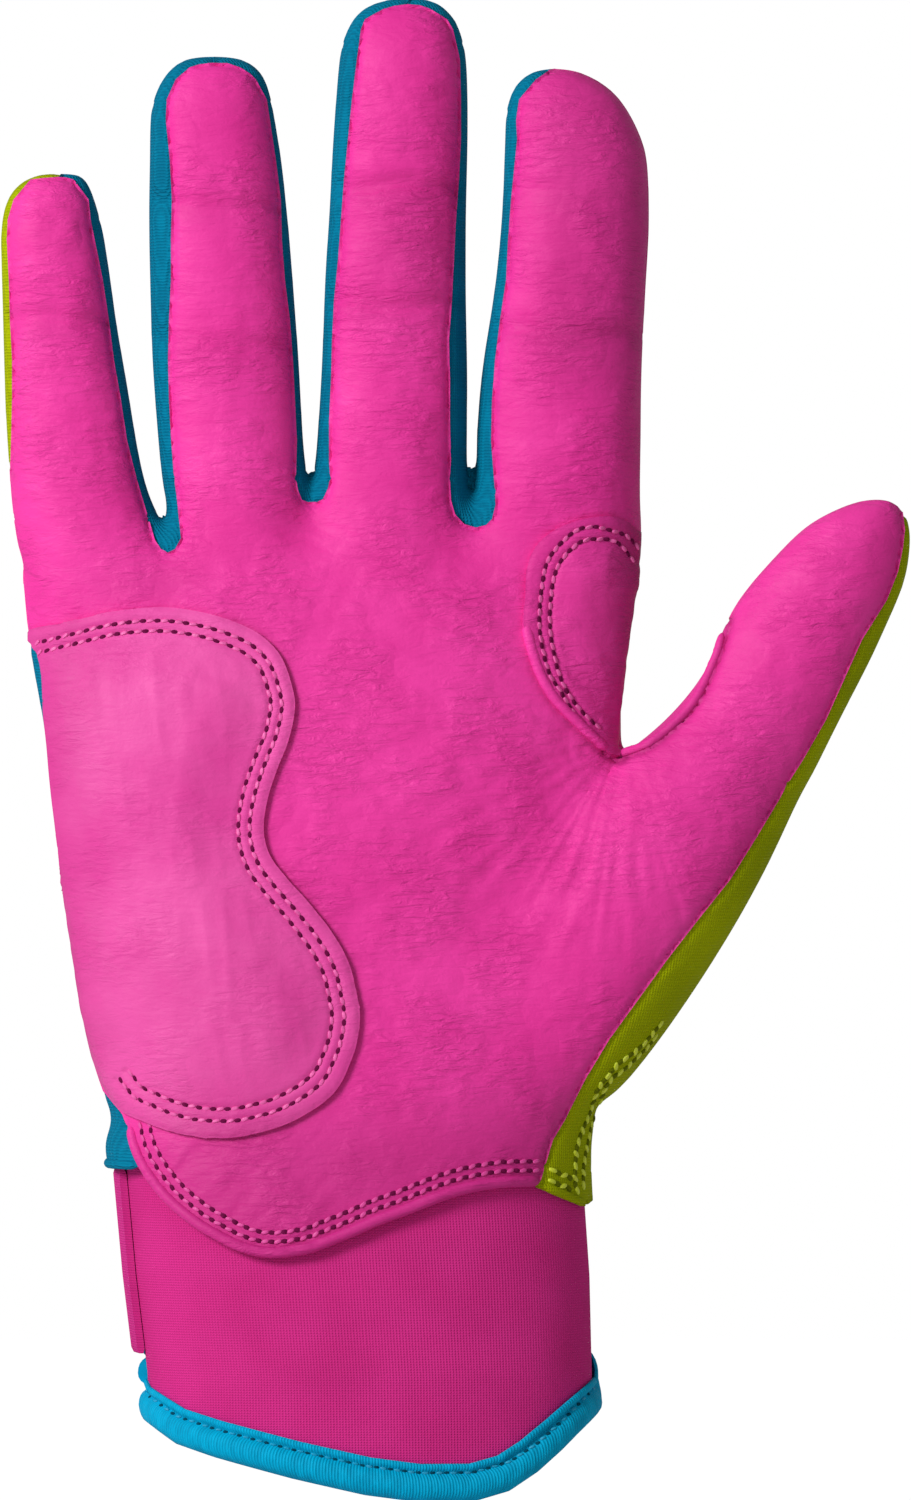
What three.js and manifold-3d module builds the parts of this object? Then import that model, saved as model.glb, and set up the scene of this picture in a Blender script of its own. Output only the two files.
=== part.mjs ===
// A padded batting glove for the right hand, shown filled out as it is on a hand.
//
// Millimetres. Fingers point to +Z, the palm faces -Y, the thumb is on the +X side.
// The origin is the centre of the wrist opening, level with the hem at the side of the wrist.
// Tables whose name ends in shares hold shares of the named sizes that they follow.

import * as THREE from "three";
import { mergeVertices } from "three/addons/utils/BufferGeometryUtils.js";
import Module from "manifold-3d";

const wasm = await Module();
wasm.setup();

// Materials of the glove and their thickness
const skin = 1; // sheepskin of the palm, and the stretch cloth of the back
const neoprene = 2; // foam-backed cloth of the cuff
const tape = 0.8; // folded binding round the hem
const thinCloth = 0.7; // gusset, elastic and label inside the cuff
const loopPile = 0.6; // loop half of the closure
const hookTape = 0.6; // hook half of the closure
const strapThickness = 1.2;
const heelFoam = 2.2;
const indexFoam = 1.8;
const seamGap = 0.3; // between pieces that are sewn edge to edge or lie on each other

// Hand
const palmLength = 150; // side hem to the roots of the middle fingers
const palmThickness = 30;
const thumbForward = 2; // how far the thumb's root lies forward of the palm's middle
const fingerSpaces = { littleRing: 2.8, ringMiddle: 2, middleIndex: 1.4 };

// Cuff, from the side hem up to the edge that is sewn under the hand
const cuffBreadth = 75;
const cuffThickness = 40;
const cuffHeight = 48;
const hemDip = 17; // how far the hem dips below the side at the front
const backHemRise = 0.5; // the back hem is nearly level with the side
const cuffLap = 5; // how far the cuff runs up under the hand
const bindingLap = 4.5; // how far the binding covers the cuff
const slitWidth = 3; // opening in the back of the cuff
const slitOffset = 6; // from the middle, towards the thumb
const ventHalfWidth = 9;
const elasticWidth = 6;
const labelWidth = 12;
const labelHeight = 16;

// Strap
const strapWidth = 30;
const strapRoot = 26.5; // from the middle to the line that the strap turns about
const strapWrap = 3; // how far the free end reaches forward of the side seam
const anchorBack = 5; // the sewn-down end stops this far behind the side seam
const pileMargin = 1.5; // strap shown all round the closure tapes
const pileSide = 4; // the closure tapes stop this far behind the side seam
const pileLength = 34;

// Seams
const patchSeam = 1; // the patches stop this far forward of the side seam
const indexWrap = 4; // leather of the index side runs this far behind the side seam
const gussetBack = 5; // back seam of the thumb gusset, behind the side seam
const webRound = 2.2; // round foot of the cloth between two fingers
const tipBand = 2.2; // the leather and the back stop this far short of the fingertip

const reach = 320; // length of a cutting block
const overrun = 6; // how far a cut runs past what it cuts
const RING_COUNT = 12; // corners of a finger's section
const HAND_RING_COUNT = 26; // corners of a section of the palm or the cuff
const SECTION_POWER = 2.3; // of the superellipse that the sections follow

// The outline of each finger, from its root to its tip. A row of shares belongs to each place
// along the finger. Left and right are the finger's sides, in halves of its breadth. Front left
// and front right are the seams of the leather on the palm side.
const alongShares = [-0.4, -0.12, 0, 0.15, 0.3, 0.45, 0.6, 0.75, 0.87, 0.94, 0.98];
const depthShares = [0.7, 1.02, 1, 0.99, 0.98, 0.97, 0.96, 0.93, 0.84, 0.66, 0.4];
const tipTurnShares = [0, 0, 0, 0, 0, 0, 0.05, 0.15, 0.4, 0.7, 0.92];
const backSeamShare = 0.8;

const fingers = {
  little: {
    length: 51,
    halfBreadth: 11,
    halfDepth: 8,
    leanDegrees: -5,
    rootUpShare: 0.982,
    leftShares: [0.88, 1.03, 1.02, 1, 0.98, 0.93, 0.88, 0.84, 0.79, 0.62, 0.34],
    rightShares: [1.35, 1.22, 0.97, 0.93, 0.88, 0.82, 0.78, 0.74, 0.67, 0.58, 0.42],
    frontLeftShares: [0.99, 0.98, 0.97, 0.93, 0.85, 0.8, 0.77, 0.73, 0.68, 0.5],
    frontRightShares: [1, 1, 0.88, 0.8, 0.73, 0.69, 0.66, 0.6, 0.55, 0.44],
    tipSplitShare: -0.24,
    backTakes: "left",
  },
  ring: {
    length: 63.6,
    halfBreadth: 12,
    halfDepth: 9,
    leanDegrees: -3.25,
    rootUpShare: 1.023,
    leftShares: [1.05, 1.03, 0.99, 1.01, 1, 0.98, 0.96, 0.89, 0.83, 0.69, 0.5],
    rightShares: [1.1, 1.06, 1, 0.99, 0.99, 0.98, 0.95, 0.9, 0.83, 0.73, 0.52],
    frontLeftShares: [0.78, 0.8, 0.82, 0.81, 0.77, 0.69, 0.63, 0.62, 0.62, 0.48],
    frontRightShares: [0.86, 0.86, 0.91, 0.91, 0.89, 0.87, 0.87, 0.82, 0.77, 0.58],
    tipSplitShare: 0,
  },
  middle: {
    length: 72.8,
    halfBreadth: 12.2,
    halfDepth: 9.4,
    leanDegrees: 1.6,
    rootUpShare: 1.023,
    leftShares: [1.1, 1.07, 1, 0.98, 0.96, 0.95, 0.93, 0.9, 0.85, 0.74, 0.5],
    rightShares: [1.1, 1.06, 1, 0.99, 0.95, 0.93, 0.92, 0.9, 0.86, 0.77, 0.57],
    frontLeftShares: [0.8, 0.82, 0.85, 0.85, 0.85, 0.78, 0.73, 0.68, 0.62, 0.55],
    frontRightShares: [0.79, 0.79, 0.78, 0.76, 0.74, 0.76, 0.8, 0.8, 0.78, 0.65],
    tipSplitShare: 0,
  },
  index: {
    length: 64.6,
    halfBreadth: 13.2,
    halfDepth: 9.6,
    leanDegrees: 3.4,
    rootUpShare: 1.002,
    leftShares: [1.1, 1.05, 1.01, 1.03, 0.98, 0.91, 0.88, 0.89, 0.91, 0.84, 0.65],
    rightShares: [1.02, 1.06, 1.04, 1, 0.96, 0.97, 0.96, 0.91, 0.71, 0.47, 0.2],
    frontLeftShares: [0.76, 0.78, 0.83, 0.86, 0.85, 0.79, 0.78, 0.76, 0.77, 0.67],
    frontRightShares: [0.8, 0.8, 0.8, 0.8, 0.8, 0.8, 0.8, 0.76, 0.56, 0.3],
    tipSplitShare: -0.33,
    frontTakes: "right",
  },
  thumb: {
    length: 41.6,
    halfBreadth: 12.4,
    halfDepth: 9.8,
    leanDegrees: 30,
    rootUpShare: 0.726,
    leftShares: [1, 1, 1, 1.01, 1.02, 0.96, 0.85, 0.73, 0.47, 0.27, 0.08],
    rightShares: [1, 1, 0.98, 0.95, 0.93, 0.9, 0.85, 0.8, 0.64, 0.51, 0.37],
    frontLeftShares: [0.8, 0.8, 0.8, 0.8, 0.8, 0.76, 0.68, 0.56, 0.34, 0.14],
    frontRightShares: [0.79, 0.79, 0.79, 0.78, 0.73, 0.69, 0.71, 0.7, 0.55, 0.37],
    tipSplitShare: 0.16,
    frontTakes: "left",
    backTakes: "right",
  },
};
const FIRST_ROW = 0;
const WEB_ROW = 1; // where two fingers meet
const ROOT_ROW = 2;
const allRows = [...alongShares.keys()];

// The palm is as broad as the row of fingers, apart from a little that the roots stand out
const palmToFingersShare = 0.971;
const fingerRowBreadth =
  2 * (fingers.little.halfBreadth + fingers.ring.halfBreadth +
    fingers.middle.halfBreadth + fingers.index.halfBreadth) +
  fingerSpaces.littleRing + fingerSpaces.ringMiddle + fingerSpaces.middleIndex;
const palmBreadth = fingerRowBreadth * palmToFingersShare;

// The roots stand side by side, each its space from the next, out from the ring and middle ones
const middleWebShare = -0.095;
const thumbRootShare = 0.632;
const side = (finger, name, row) => finger.halfBreadth * finger[name][row];
const middleWeb = middleWebShare * palmBreadth;
fingers.ring.root = middleWeb - fingerSpaces.ringMiddle / 2 - side(fingers.ring, "rightShares", ROOT_ROW);
fingers.middle.root = middleWeb + fingerSpaces.ringMiddle / 2 + side(fingers.middle, "leftShares", ROOT_ROW);
fingers.little.root = fingers.ring.root - side(fingers.ring, "leftShares", ROOT_ROW) -
  fingerSpaces.littleRing - side(fingers.little, "rightShares", ROOT_ROW);
fingers.index.root = fingers.middle.root + side(fingers.middle, "rightShares", ROOT_ROW) +
  fingerSpaces.middleIndex + side(fingers.index, "leftShares", ROOT_ROW);
fingers.thumb.root = thumbRootShare * palmBreadth;

// Sections of the palm, from the heel up: place up the palm, left, right, half thickness
const palmSectionShares = [
  [0.4, -0.46, 0.385, 0.53],
  [0.485, -0.48, 0.395, 0.5],
  [0.57, -0.5, 0.405, 0.47],
  [0.66, -0.518, 0.412, 0.45],
  [0.745, -0.532, 0.413, 0.43],
  [0.81, -0.55, 0.423, 0.41],
  [0.875, -0.568, 0.441, 0.36],
  [0.907, -0.565, 0.44, 0.28],
];

// Sections of the cuff: place up the cuff, left, right, half thickness
const cuffSectionShares = [
  [-0.5, -0.475, 0.485, 0.5],
  [0.04, -0.484, 0.483, 0.49],
  [0.375, -0.51, 0.478, 0.465],
  [0.75, -0.532, 0.471, 0.437],
  [1, -0.56, 0.483, 0.405],
];
const FIRST_COVERED_ROW = 2; // from here up, the hand lies over the cuff

// Sections of the ball of the thumb: left point, right point, half thickness, forward
const thumbBaseShares = [
  [[0.098, 0.289], [0.36, 0.283], 0.36, 0],
  [[0.114, 0.354], [0.448, 0.354], 0.5, 0.5],
  [[0.131, 0.419], [0.518, 0.419], 0.49, 1],
  [[0.163, 0.495], [0.593, 0.495], 0.47, 1.2],
  [[0.245, 0.583], [0.655, 0.572], 0.44, 1.2],
  [[0.376, 0.669], [0.697, 0.637], 0.4, 1.2],
  [[0.457, 0.708], [0.722, 0.664], 0.37, 1.1],
];

// Outlines on the palm, as shares of its breadth and length
const palmSideShares = [[-0.75, 1.15], [-0.75, 0.345], [-0.434, 0.323]];
const palmHemShares = [
  [-0.395, 0.266], [-0.372, 0.219], [-0.322, 0.181], [-0.27, 0.151], [-0.217, 0.137],
  [-0.158, 0.133], [-0.095, 0.139], [-0.018, 0.157], [0.069, 0.181], [0.157, 0.206],
  [0.227, 0.217], [0.279, 0.215],
];
const thumbSeamShares = [
  [0.289, 0.245], [0.299, 0.267], [0.318, 0.289], [0.351, 0.332], [0.438, 0.419],
  [0.536, 0.506], [0.588, 0.55], [0.668, 0.637], [0.745, 0.724], [0.804, 0.811],
];
const palmTopShares = [[0.95, 0.95], [0.95, 1.15]];
const thumbSliverShares = [[0.26, 0.195], [0.6, 0.195], [1.1, 0.6], [1.1, 1], [0.7, 1], [0.26, 0.5]];
const thumbBackShares = [
  [0.2, 0.05], [0.9, 0.05], [0.9, 1], [0.47, 0.9], [0.4, 0.7], [0.3, 0.5], [0.24, 0.3],
];
const indexWrapShares = [[0.36, 0.715], [0.47, 0.715], [0.47, 1.15], [0.36, 1.15]];
const gussetShares = [
  [0.388, 0.66], [0.454, 0.692], [0.497, 0.72], [0.528, 0.74], [0.549, 0.769],
  [0.57, 0.8], [0.583, 0.833], [0.5, 0.86], [0.47, 0.76], [0.4, 0.72],
];
const heelPatchShares = [
  [-0.545, 0.823], [-0.527, 0.745], [-0.51, 0.66], [-0.492, 0.57], [-0.472, 0.485],
  [-0.452, 0.4], [-0.43, 0.335], [-0.403, 0.299], [-0.332, 0.278], [-0.225, 0.269],
  [-0.134, 0.284], [-0.052, 0.323], [-0.016, 0.402], [-0.036, 0.462], [-0.1, 0.525],
  [-0.163, 0.577], [-0.167, 0.638], [-0.132, 0.702], [-0.127, 0.761], [-0.178, 0.815],
  [-0.283, 0.842], [-0.421, 0.842],
];
const indexPatchShares = [
  [0.43, 0.927], [0.39, 0.946], [0.346, 0.943], [0.304, 0.932], [0.273, 0.915],
  [0.256, 0.889], [0.25, 0.845], [0.256, 0.808], [0.273, 0.773], [0.304, 0.741],
  [0.346, 0.712], [0.379, 0.691], [0.395, 0.688], [0.4, 0.72], [0.403, 0.78], [0.41, 0.83],
];
const heelFoamShares = [
  [-0.48, 0.78], [-0.45, 0.66], [-0.432, 0.57], [-0.412, 0.485], [-0.392, 0.4],
  [-0.372, 0.345], [-0.32, 0.322], [-0.225, 0.312], [-0.155, 0.325], [-0.098, 0.355],
  [-0.078, 0.402], [-0.092, 0.445], [-0.15, 0.5], [-0.22, 0.56], [-0.228, 0.645],
  [-0.195, 0.712], [-0.192, 0.745], [-0.225, 0.777], [-0.29, 0.8], [-0.42, 0.8],
];
const indexFoamShares = [
  [0.358, 0.895], [0.34, 0.908], [0.32, 0.9], [0.302, 0.875], [0.298, 0.845],
  [0.305, 0.81], [0.322, 0.775], [0.34, 0.752], [0.352, 0.75], [0.356, 0.77], [0.358, 0.82],
];
const knucklePanelShares = [
  [-0.46, 0.73], [-0.25, 0.785], [0.05, 0.805], [0.32, 0.765],
  [0.32, 0.83], [0.05, 0.872], [-0.25, 0.855], [-0.46, 0.8],
];
const tabFootShares = [[-0.75, 0.24], [-0.3, 0.24], [-0.3, 0.4], [-0.75, 0.4]];
const webFootShares = { littleRing: 0.907, ringMiddle: 0.961, middleIndex: 0.934 };

// The hem of the cuff at the front, as shares of the cuff's breadth and of the dip
const hemShares = [
  [-0.5, -0.1], [-0.41, -0.46], [-0.33, -0.55], [-0.165, -0.76], [0, -0.9],
  [0.11, -1], [0.22, -1], [0.32, -0.88], [0.41, -0.53], [0.5, -0.1],
];

// Colours
const pinkLeather = { color: 0xe6409e, roughness: 0.5, metalness: 0 };
const darkPinkCloth = { color: 0xc42d81, roughness: 0.85, metalness: 0 };
const blueCloth = { color: 0x0a86ab, roughness: 0.8, metalness: 0 };
const greenCloth = { color: 0x8c9a08, roughness: 0.8, metalness: 0 };
const paleFoam = { color: 0xe8e4da, roughness: 0.95, metalness: 0 };
const whiteCloth = { color: 0xf2f2f0, roughness: 0.9, metalness: 0 };

// Solids

function solidOf(geometry) {
  const bare = geometry.clone();
  bare.deleteAttribute("normal");
  bare.deleteAttribute("uv");
  const merged = mergeVertices(bare);
  return new wasm.Manifold(new wasm.Mesh({
    numProp: 3,
    vertProperties: merged.attributes.position.array,
    triVerts: new Uint32Array(merged.index.array),
  }));
}

function geometryOf(solid) {
  const mesh = solid.getMesh();
  const geometry = new THREE.BufferGeometry();
  geometry.setAttribute("position", new THREE.BufferAttribute(mesh.vertProperties, 3));
  geometry.setIndex(new THREE.BufferAttribute(mesh.triVerts, 1));
  geometry.computeVertexNormals();
  return geometry;
}

const joined = (...solids) => solids.reduce((sum, solid) => sum.add(solid));
const without = (solid, ...cuts) => cuts.reduce((rest, cut) => rest.subtract(cut), solid);

// A section is a superellipse between a left and a right point, grown all round
function ringOf({ left, right, halfDepth, forward }, grow, count) {
  const across = right.clone().sub(left);
  const middle = left.clone().add(right).divideScalar(2);
  const halfBreadth = across.length() / 2 + grow;
  across.normalize();
  const points = [];
  for (let i = 0; i < count; i += 1) {
    const turn = (2 * Math.PI * i) / count;
    const bulge = (value) => Math.sign(value) * Math.abs(value) ** (2 / SECTION_POWER);
    const out = halfBreadth * bulge(Math.cos(turn));
    const deep = (halfDepth + grow) * bulge(Math.sin(turn));
    points.push([middle.x + across.x * out, deep - forward, middle.y + across.y * out]);
  }
  return points;
}

// A closed skin over rings that all have as many points, with a point at each end
function loft(rings, foot, crown) {
  const count = rings[0].length;
  const positions = [...rings.flat(2), ...foot, ...crown];
  const footIndex = rings.length * count;
  const index = [];
  rings.forEach((ring, r) => ring.forEach((point, i) => {
    const next = (i + 1) % count;
    if (r < rings.length - 1) {
      const [a, b, c, d] = [r * count + i, r * count + next, (r + 1) * count + next, (r + 1) * count + i];
      index.push(a, b, c, a, c, d);
    }
    if (r === 0) index.push(footIndex, next, i);
    if (r === rings.length - 1) index.push(footIndex + 1, r * count + i, r * count + next);
  }));
  const geometry = new THREE.BufferGeometry();
  geometry.setAttribute("position", new THREE.BufferAttribute(new Float32Array(positions), 3));
  geometry.setIndex(index);
  return solidOf(geometry);
}

const middleOf = (station) => {
  const middle = station.left.clone().add(station.right).divideScalar(2);
  return [middle.x, -station.forward, middle.y];
};

// A block whose outline is seen from the palm and which runs from nearY back to farY
function block(outline, nearY, farY) {
  const shape = new THREE.Shape(outline);
  const geometry = new THREE.ExtrudeGeometry(shape, { depth: farY - nearY, bevelEnabled: false });
  geometry.rotateX(Math.PI / 2);
  geometry.translate(0, farY, 0);
  return solidOf(geometry);
}

function box(low, high) {
  const size = high.clone().sub(low);
  const geometry = new THREE.BoxGeometry(size.x, size.y, size.z);
  geometry.translate(low.x + size.x / 2, low.y + size.y / 2, low.z + size.z / 2);
  return solidOf(geometry);
}

// An outline moved outwards by a distance, or inwards by a negative one
function grown(outline, distance) {
  const turned = THREE.ShapeUtils.area(outline) > 0 ? 1 : -1;
  return outline.map((point, i) => {
    const before = outline[(i + outline.length - 1) % outline.length];
    const after = outline[(i + 1) % outline.length];
    const a = point.clone().sub(before).normalize();
    const b = after.clone().sub(point).normalize();
    const normal = new THREE.Vector2(a.y + b.y, -a.x - b.x).multiplyScalar(turned);
    const stretch = Math.max(normal.lengthSq() / 2, 1 / 2);
    return point.clone().addScaledVector(normal, distance / stretch);
  });
}

// A cutting region, and the same region with the seam's gap round it
function region(outline, nearY, farY) {
  return {
    own: block(outline, nearY, farY),
    wide: block(grown(outline, seamGap), nearY - seamGap, farY + seamGap),
  };
}

const bothOf = (...regions) => ({
  own: joined(...regions.map((r) => r.own)),
  wide: joined(...regions.map((r) => r.wide)),
});

const onPalm = ([across, up]) => new THREE.Vector2(across * palmBreadth, up * palmLength);
const palmOutline = (shares) => shares.map(onPalm);

// Forms

// A finger's form in its own frame: its root at the origin, its tip along +Z
function fingerStation(finger, row, grow) {
  const turn = tipTurnShares[row];
  const spread = grow * Math.sqrt(1 - turn * turn) - grow;
  const up = finger.length * alongShares[row] + grow * turn;
  return {
    left: new THREE.Vector2(-side(finger, "leftShares", row) - spread, up),
    right: new THREE.Vector2(side(finger, "rightShares", row) + spread, up),
    halfDepth: finger.halfDepth * depthShares[row] + spread,
    forward: 0,
  };
}

function fingerForm(finger, grow) {
  const firstRow = finger === fingers.thumb ? ROOT_ROW : FIRST_ROW;
  const stations = allRows.slice(firstRow).map((row) => fingerStation(finger, row, grow));
  const last = stations[stations.length - 1];
  const [x, y] = middleOf(last);
  const below = finger === fingers.thumb ? thumbBaseStations(finger) : [];
  const rings = [...below, ...stations].map((station) => ringOf(station, grow, RING_COUNT));
  return loft(rings, middleOf([...below, ...stations][0]), [x, y, finger.length + grow]);
}

// The ball of the thumb, seen from the thumb's own frame
function thumbBaseStations(thumb) {
  const lean = THREE.MathUtils.degToRad(thumb.leanDegrees);
  const root = new THREE.Vector2(thumb.root, thumb.rootUpShare * palmLength);
  const seen = (share) => onPalm(share).sub(root).rotateAround(new THREE.Vector2(), lean);
  return thumbBaseShares.map(([left, right, halfThicknessShare, forwardShare]) => ({
    left: seen(left),
    right: seen(right),
    halfDepth: halfThicknessShare * palmThickness,
    forward: (forwardShare - 1) * thumbForward,
  }));
}

function frameOf(finger) {
  const lean = THREE.MathUtils.degToRad(finger.leanDegrees);
  const matrix = new THREE.Matrix4().makeRotationY(lean);
  const forward = finger === fingers.thumb ? thumbForward : 0;
  return matrix.setPosition(finger.root, -forward, finger.rootUpShare * palmLength);
}

const cuffStations = cuffSectionShares.map(([up, left, right, halfThickness]) => ({
  left: new THREE.Vector2(left * cuffBreadth, up * cuffHeight),
  right: new THREE.Vector2(right * cuffBreadth, up * cuffHeight),
  halfDepth: halfThickness * cuffThickness,
  forward: 0,
}));

function cuffForm(grow) {
  const rings = cuffStations.map((station) => ringOf(station, grow, HAND_RING_COUNT));
  return loft(rings, middleOf(cuffStations[0]), middleOf(cuffStations[cuffStations.length - 1]));
}

// The palm lies over the upper cuff, and its form is open downwards where drop is given
function palmForm(grow, drop = 0) {
  const overCuff = cuffStations.slice(FIRST_COVERED_ROW);
  const onHand = palmSectionShares.map(([up, left, right, halfThickness], row) => {
    const top = row === palmSectionShares.length - 1 ? grow : 0;
    return {
      left: onPalm([left, up]).add(new THREE.Vector2(0, top)),
      right: onPalm([right, up]).add(new THREE.Vector2(0, top)),
      halfDepth: halfThickness * palmThickness,
      forward: 0,
    };
  });
  const rings = [
    ...overCuff.map((station) => ringOf(station, grow + seamGap + skin, HAND_RING_COUNT)),
    ...onHand.map((station) => ringOf(station, grow, HAND_RING_COUNT)),
  ];
  if (drop > 0) rings.unshift(rings[0].map(([x, y, z]) => [x, y, z - drop]));
  const [x, y, z] = middleOf(overCuff[0]);
  return loft(rings, [x, y, z - drop], middleOf(onHand[onHand.length - 1]));
}

// What lies beyond a finger's root plane, in the finger's frame
const beyondRoot = (gap) => box(
  new THREE.Vector3(-reach, -reach, gap),
  new THREE.Vector3(reach, reach, reach),
);

function handForm(grow, drop = 0, open = false) {
  const stubs = Object.values(fingers).map((finger) => {
    const whole = fingerForm(finger, grow);
    const stub = open ? whole : whole.subtract(beyondRoot(-seamGap / 2));
    return stub.transform(frameOf(finger).elements);
  });
  return joined(palmForm(grow, drop), ...stubs);
}

// Scene

const glove = new THREE.Group();

function piece(name, solid, look, parent = glove) {
  const material = new THREE.MeshStandardMaterial({ ...look, flatShading: true });
  const mesh = new THREE.Mesh(geometryOf(solid), material);
  mesh.name = name;
  parent.add(mesh);
}

// Cuts of the hand

function fingerEdge(finger, sign, name, row) {
  const point = new THREE.Vector3(sign * side(finger, name, row), 0, alongShares[row] * finger.length);
  point.applyMatrix4(frameOf(finger));
  return new THREE.Vector2(point.x, point.z);
}

// Cloth between two fingers, from one finger's leather seam round the foot to the next one's
function webRegion(leftFinger, rightFinger, footShare) {
  const foot = new THREE.Vector2(
    (fingerEdge(leftFinger, 1, "rightShares", WEB_ROW).x +
      fingerEdge(rightFinger, -1, "leftShares", WEB_ROW).x) / 2,
    footShare * palmLength,
  );
  const outline = [
    foot.clone().add(new THREE.Vector2(-webRound, webRound)),
    foot,
    foot.clone().add(new THREE.Vector2(webRound, webRound)),
    fingerEdge(rightFinger, -1, "frontLeftShares", ROOT_ROW),
    fingerEdge(rightFinger, -1, "frontLeftShares", ROOT_ROW + 1),
    fingerEdge(leftFinger, 1, "frontRightShares", ROOT_ROW + 1),
    fingerEdge(leftFinger, 1, "frontRightShares", ROOT_ROW),
  ];
  return region(outline, -reach, reach);
}

const webs = {
  little_ring: webRegion(fingers.little, fingers.ring, webFootShares.littleRing),
  ring_middle: webRegion(fingers.ring, fingers.middle, webFootShares.ringMiddle),
  middle_index: webRegion(fingers.middle, fingers.index, webFootShares.middleIndex),
};

const strapLow = backHemRise + bindingLap + seamGap;
const strapTop = strapLow + strapWidth;
const backFoot = strapTop + seamGap; // the hand's back ends just above the strap

const palmCut = bothOf(
  region(palmOutline([...palmSideShares, ...palmHemShares, ...thumbSeamShares, ...palmTopShares]), -reach, 0),
  region(palmOutline(indexWrapShares), -overrun, indexWrap),
);
const gussetCut = region(palmOutline(gussetShares), -reach, gussetBack);
const knuckleCut = region(palmOutline(knucklePanelShares), overrun / 2, reach);
const aboveBackFoot = box(
  new THREE.Vector3(-reach, 0, backFoot),
  new THREE.Vector3(reach, reach, reach),
);
const thumbBackBlock = region(palmOutline(thumbBackShares), 0, reach);
const thumbSliver = block(palmOutline(thumbSliverShares), -reach, seamGap);
const thumbBackCut = {
  own: joined(thumbBackBlock.own.intersect(aboveBackFoot), thumbSliver),
  wide: joined(thumbBackBlock.wide, thumbSliver),
};
const handBackCut = joined(aboveBackFoot, block(palmOutline(tabFootShares), -reach, seamGap));

const handShell = handForm(0).subtract(handForm(-skin, overrun, true));
const webCuts = Object.values(webs).map((web) => web.wide);

piece("palm_leather", without(handShell.intersect(palmCut.own), gussetCut.wide, ...webCuts), pinkLeather);
piece("thumb_gusset", handShell.intersect(gussetCut.own), pinkLeather);
piece("thumb_back_base",
  without(handShell.intersect(thumbBackCut.own), palmCut.wide, gussetCut.wide), greenCloth);
piece("hand_back_panel", without(handShell.intersect(handBackCut),
  palmCut.wide, gussetCut.wide, thumbBackCut.wide, knuckleCut.wide, ...webCuts), blueCloth);
piece("knuckle_flex_panel", handShell.intersect(knuckleCut.own), darkPinkCloth);
Object.entries(webs).forEach(([name, web]) => piece(name + "_web", handShell.intersect(web.own), blueCloth));

// Padded patches: a leather pan over a foam pad, sewn down on a flange all round

function paddedPatch(name, shares, foamShares, foamThickness) {
  const outline = palmOutline(shares);
  const foamOutline = palmOutline(foamShares);
  const front = (line, distance) => block(grown(line, distance), -reach, -patchSeam);
  const base = handForm(seamGap);
  const foamTop = handForm(seamGap + foamThickness);
  const hollow = handForm(seamGap + foamThickness + seamGap).intersect(front(foamOutline, seamGap));
  const flange = handForm(seamGap + skin).intersect(front(outline, 0));
  const crown = handForm(seamGap + foamThickness + seamGap + skin)
    .intersect(front(foamOutline, seamGap + skin));
  piece(name + "_patch", without(joined(flange, crown), hollow, base), pinkLeather);
  piece(name + "_foam", foamTop.intersect(front(foamOutline, 0)).subtract(base), paleFoam);
}

paddedPatch("heel", heelPatchShares, heelFoamShares, heelFoam);
paddedPatch("index", indexPatchShares, indexFoamShares, indexFoam);

// Cuff

const hemLine = hemShares.map(([across, down]) => new THREE.Vector2(across * cuffBreadth, down * hemDip));
const hemEnds = (line, rise) => [
  new THREE.Vector2(-reach, line[0].y + rise),
  ...line.map((point) => point.clone().add(new THREE.Vector2(0, rise))),
  new THREE.Vector2(reach, line[line.length - 1].y + rise),
];
const bandOutline = (lowLine, low, highLine, high) => [
  ...hemEnds(lowLine, low),
  ...hemEnds(highLine, high).reverse(),
];
const handHem = palmOutline(palmHemShares);
const backHem = [new THREE.Vector2(-cuffBreadth, backHemRise), new THREE.Vector2(cuffBreadth, backHemRise)];

const cuffShell = cuffForm(0).subtract(cuffForm(-neoprene).add(
  box(new THREE.Vector3(-reach, -reach, -reach), new THREE.Vector3(reach, reach, -hemDip - tape * 2))));
const halfGap = seamGap / 2;
const cuffBackTop = backFoot + cuffLap;
const cuffBack = block(bandOutline(backHem, 0, backHem, cuffBackTop - backHemRise), halfGap, reach);
const leftOfSlit = slitOffset - slitWidth / 2;
const rightOfSlit = slitOffset + slitWidth / 2;
const between = (lowX, highX, lowZ, highZ, nearY, farY) => box(
  new THREE.Vector3(lowX, nearY, lowZ),
  new THREE.Vector3(highX, farY, highZ),
);

piece("cuff_front",
  cuffShell.intersect(block(bandOutline(hemLine, 0, handHem, cuffLap), -reach, -halfGap)), darkPinkCloth);
piece("cuff_back_ulnar", cuffShell.intersect(cuffBack)
  .intersect(between(-reach, leftOfSlit, -reach, reach, -reach, reach)), darkPinkCloth);
piece("cuff_back_thumb", cuffShell.intersect(cuffBack)
  .intersect(between(rightOfSlit, reach, -reach, reach, -reach, reach)), darkPinkCloth);

// Binding folded round the hem, with the cuff's edge inside its fold
const foldOuter = cuffForm(seamGap + tape).subtract(cuffForm(-neoprene - seamGap - tape));
const foldInner = cuffForm(seamGap).subtract(cuffForm(-neoprene - seamGap));

function binding(line, nearY, farY) {
  const fold = block(bandOutline(line, -seamGap - tape, line, bindingLap), nearY, farY);
  const insideFold = bandOutline(line, -seamGap, line, bindingLap + overrun);
  const edge = block(insideFold, nearY - overrun, farY + overrun);
  return foldOuter.intersect(fold).subtract(foldInner.intersect(edge));
}

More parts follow.
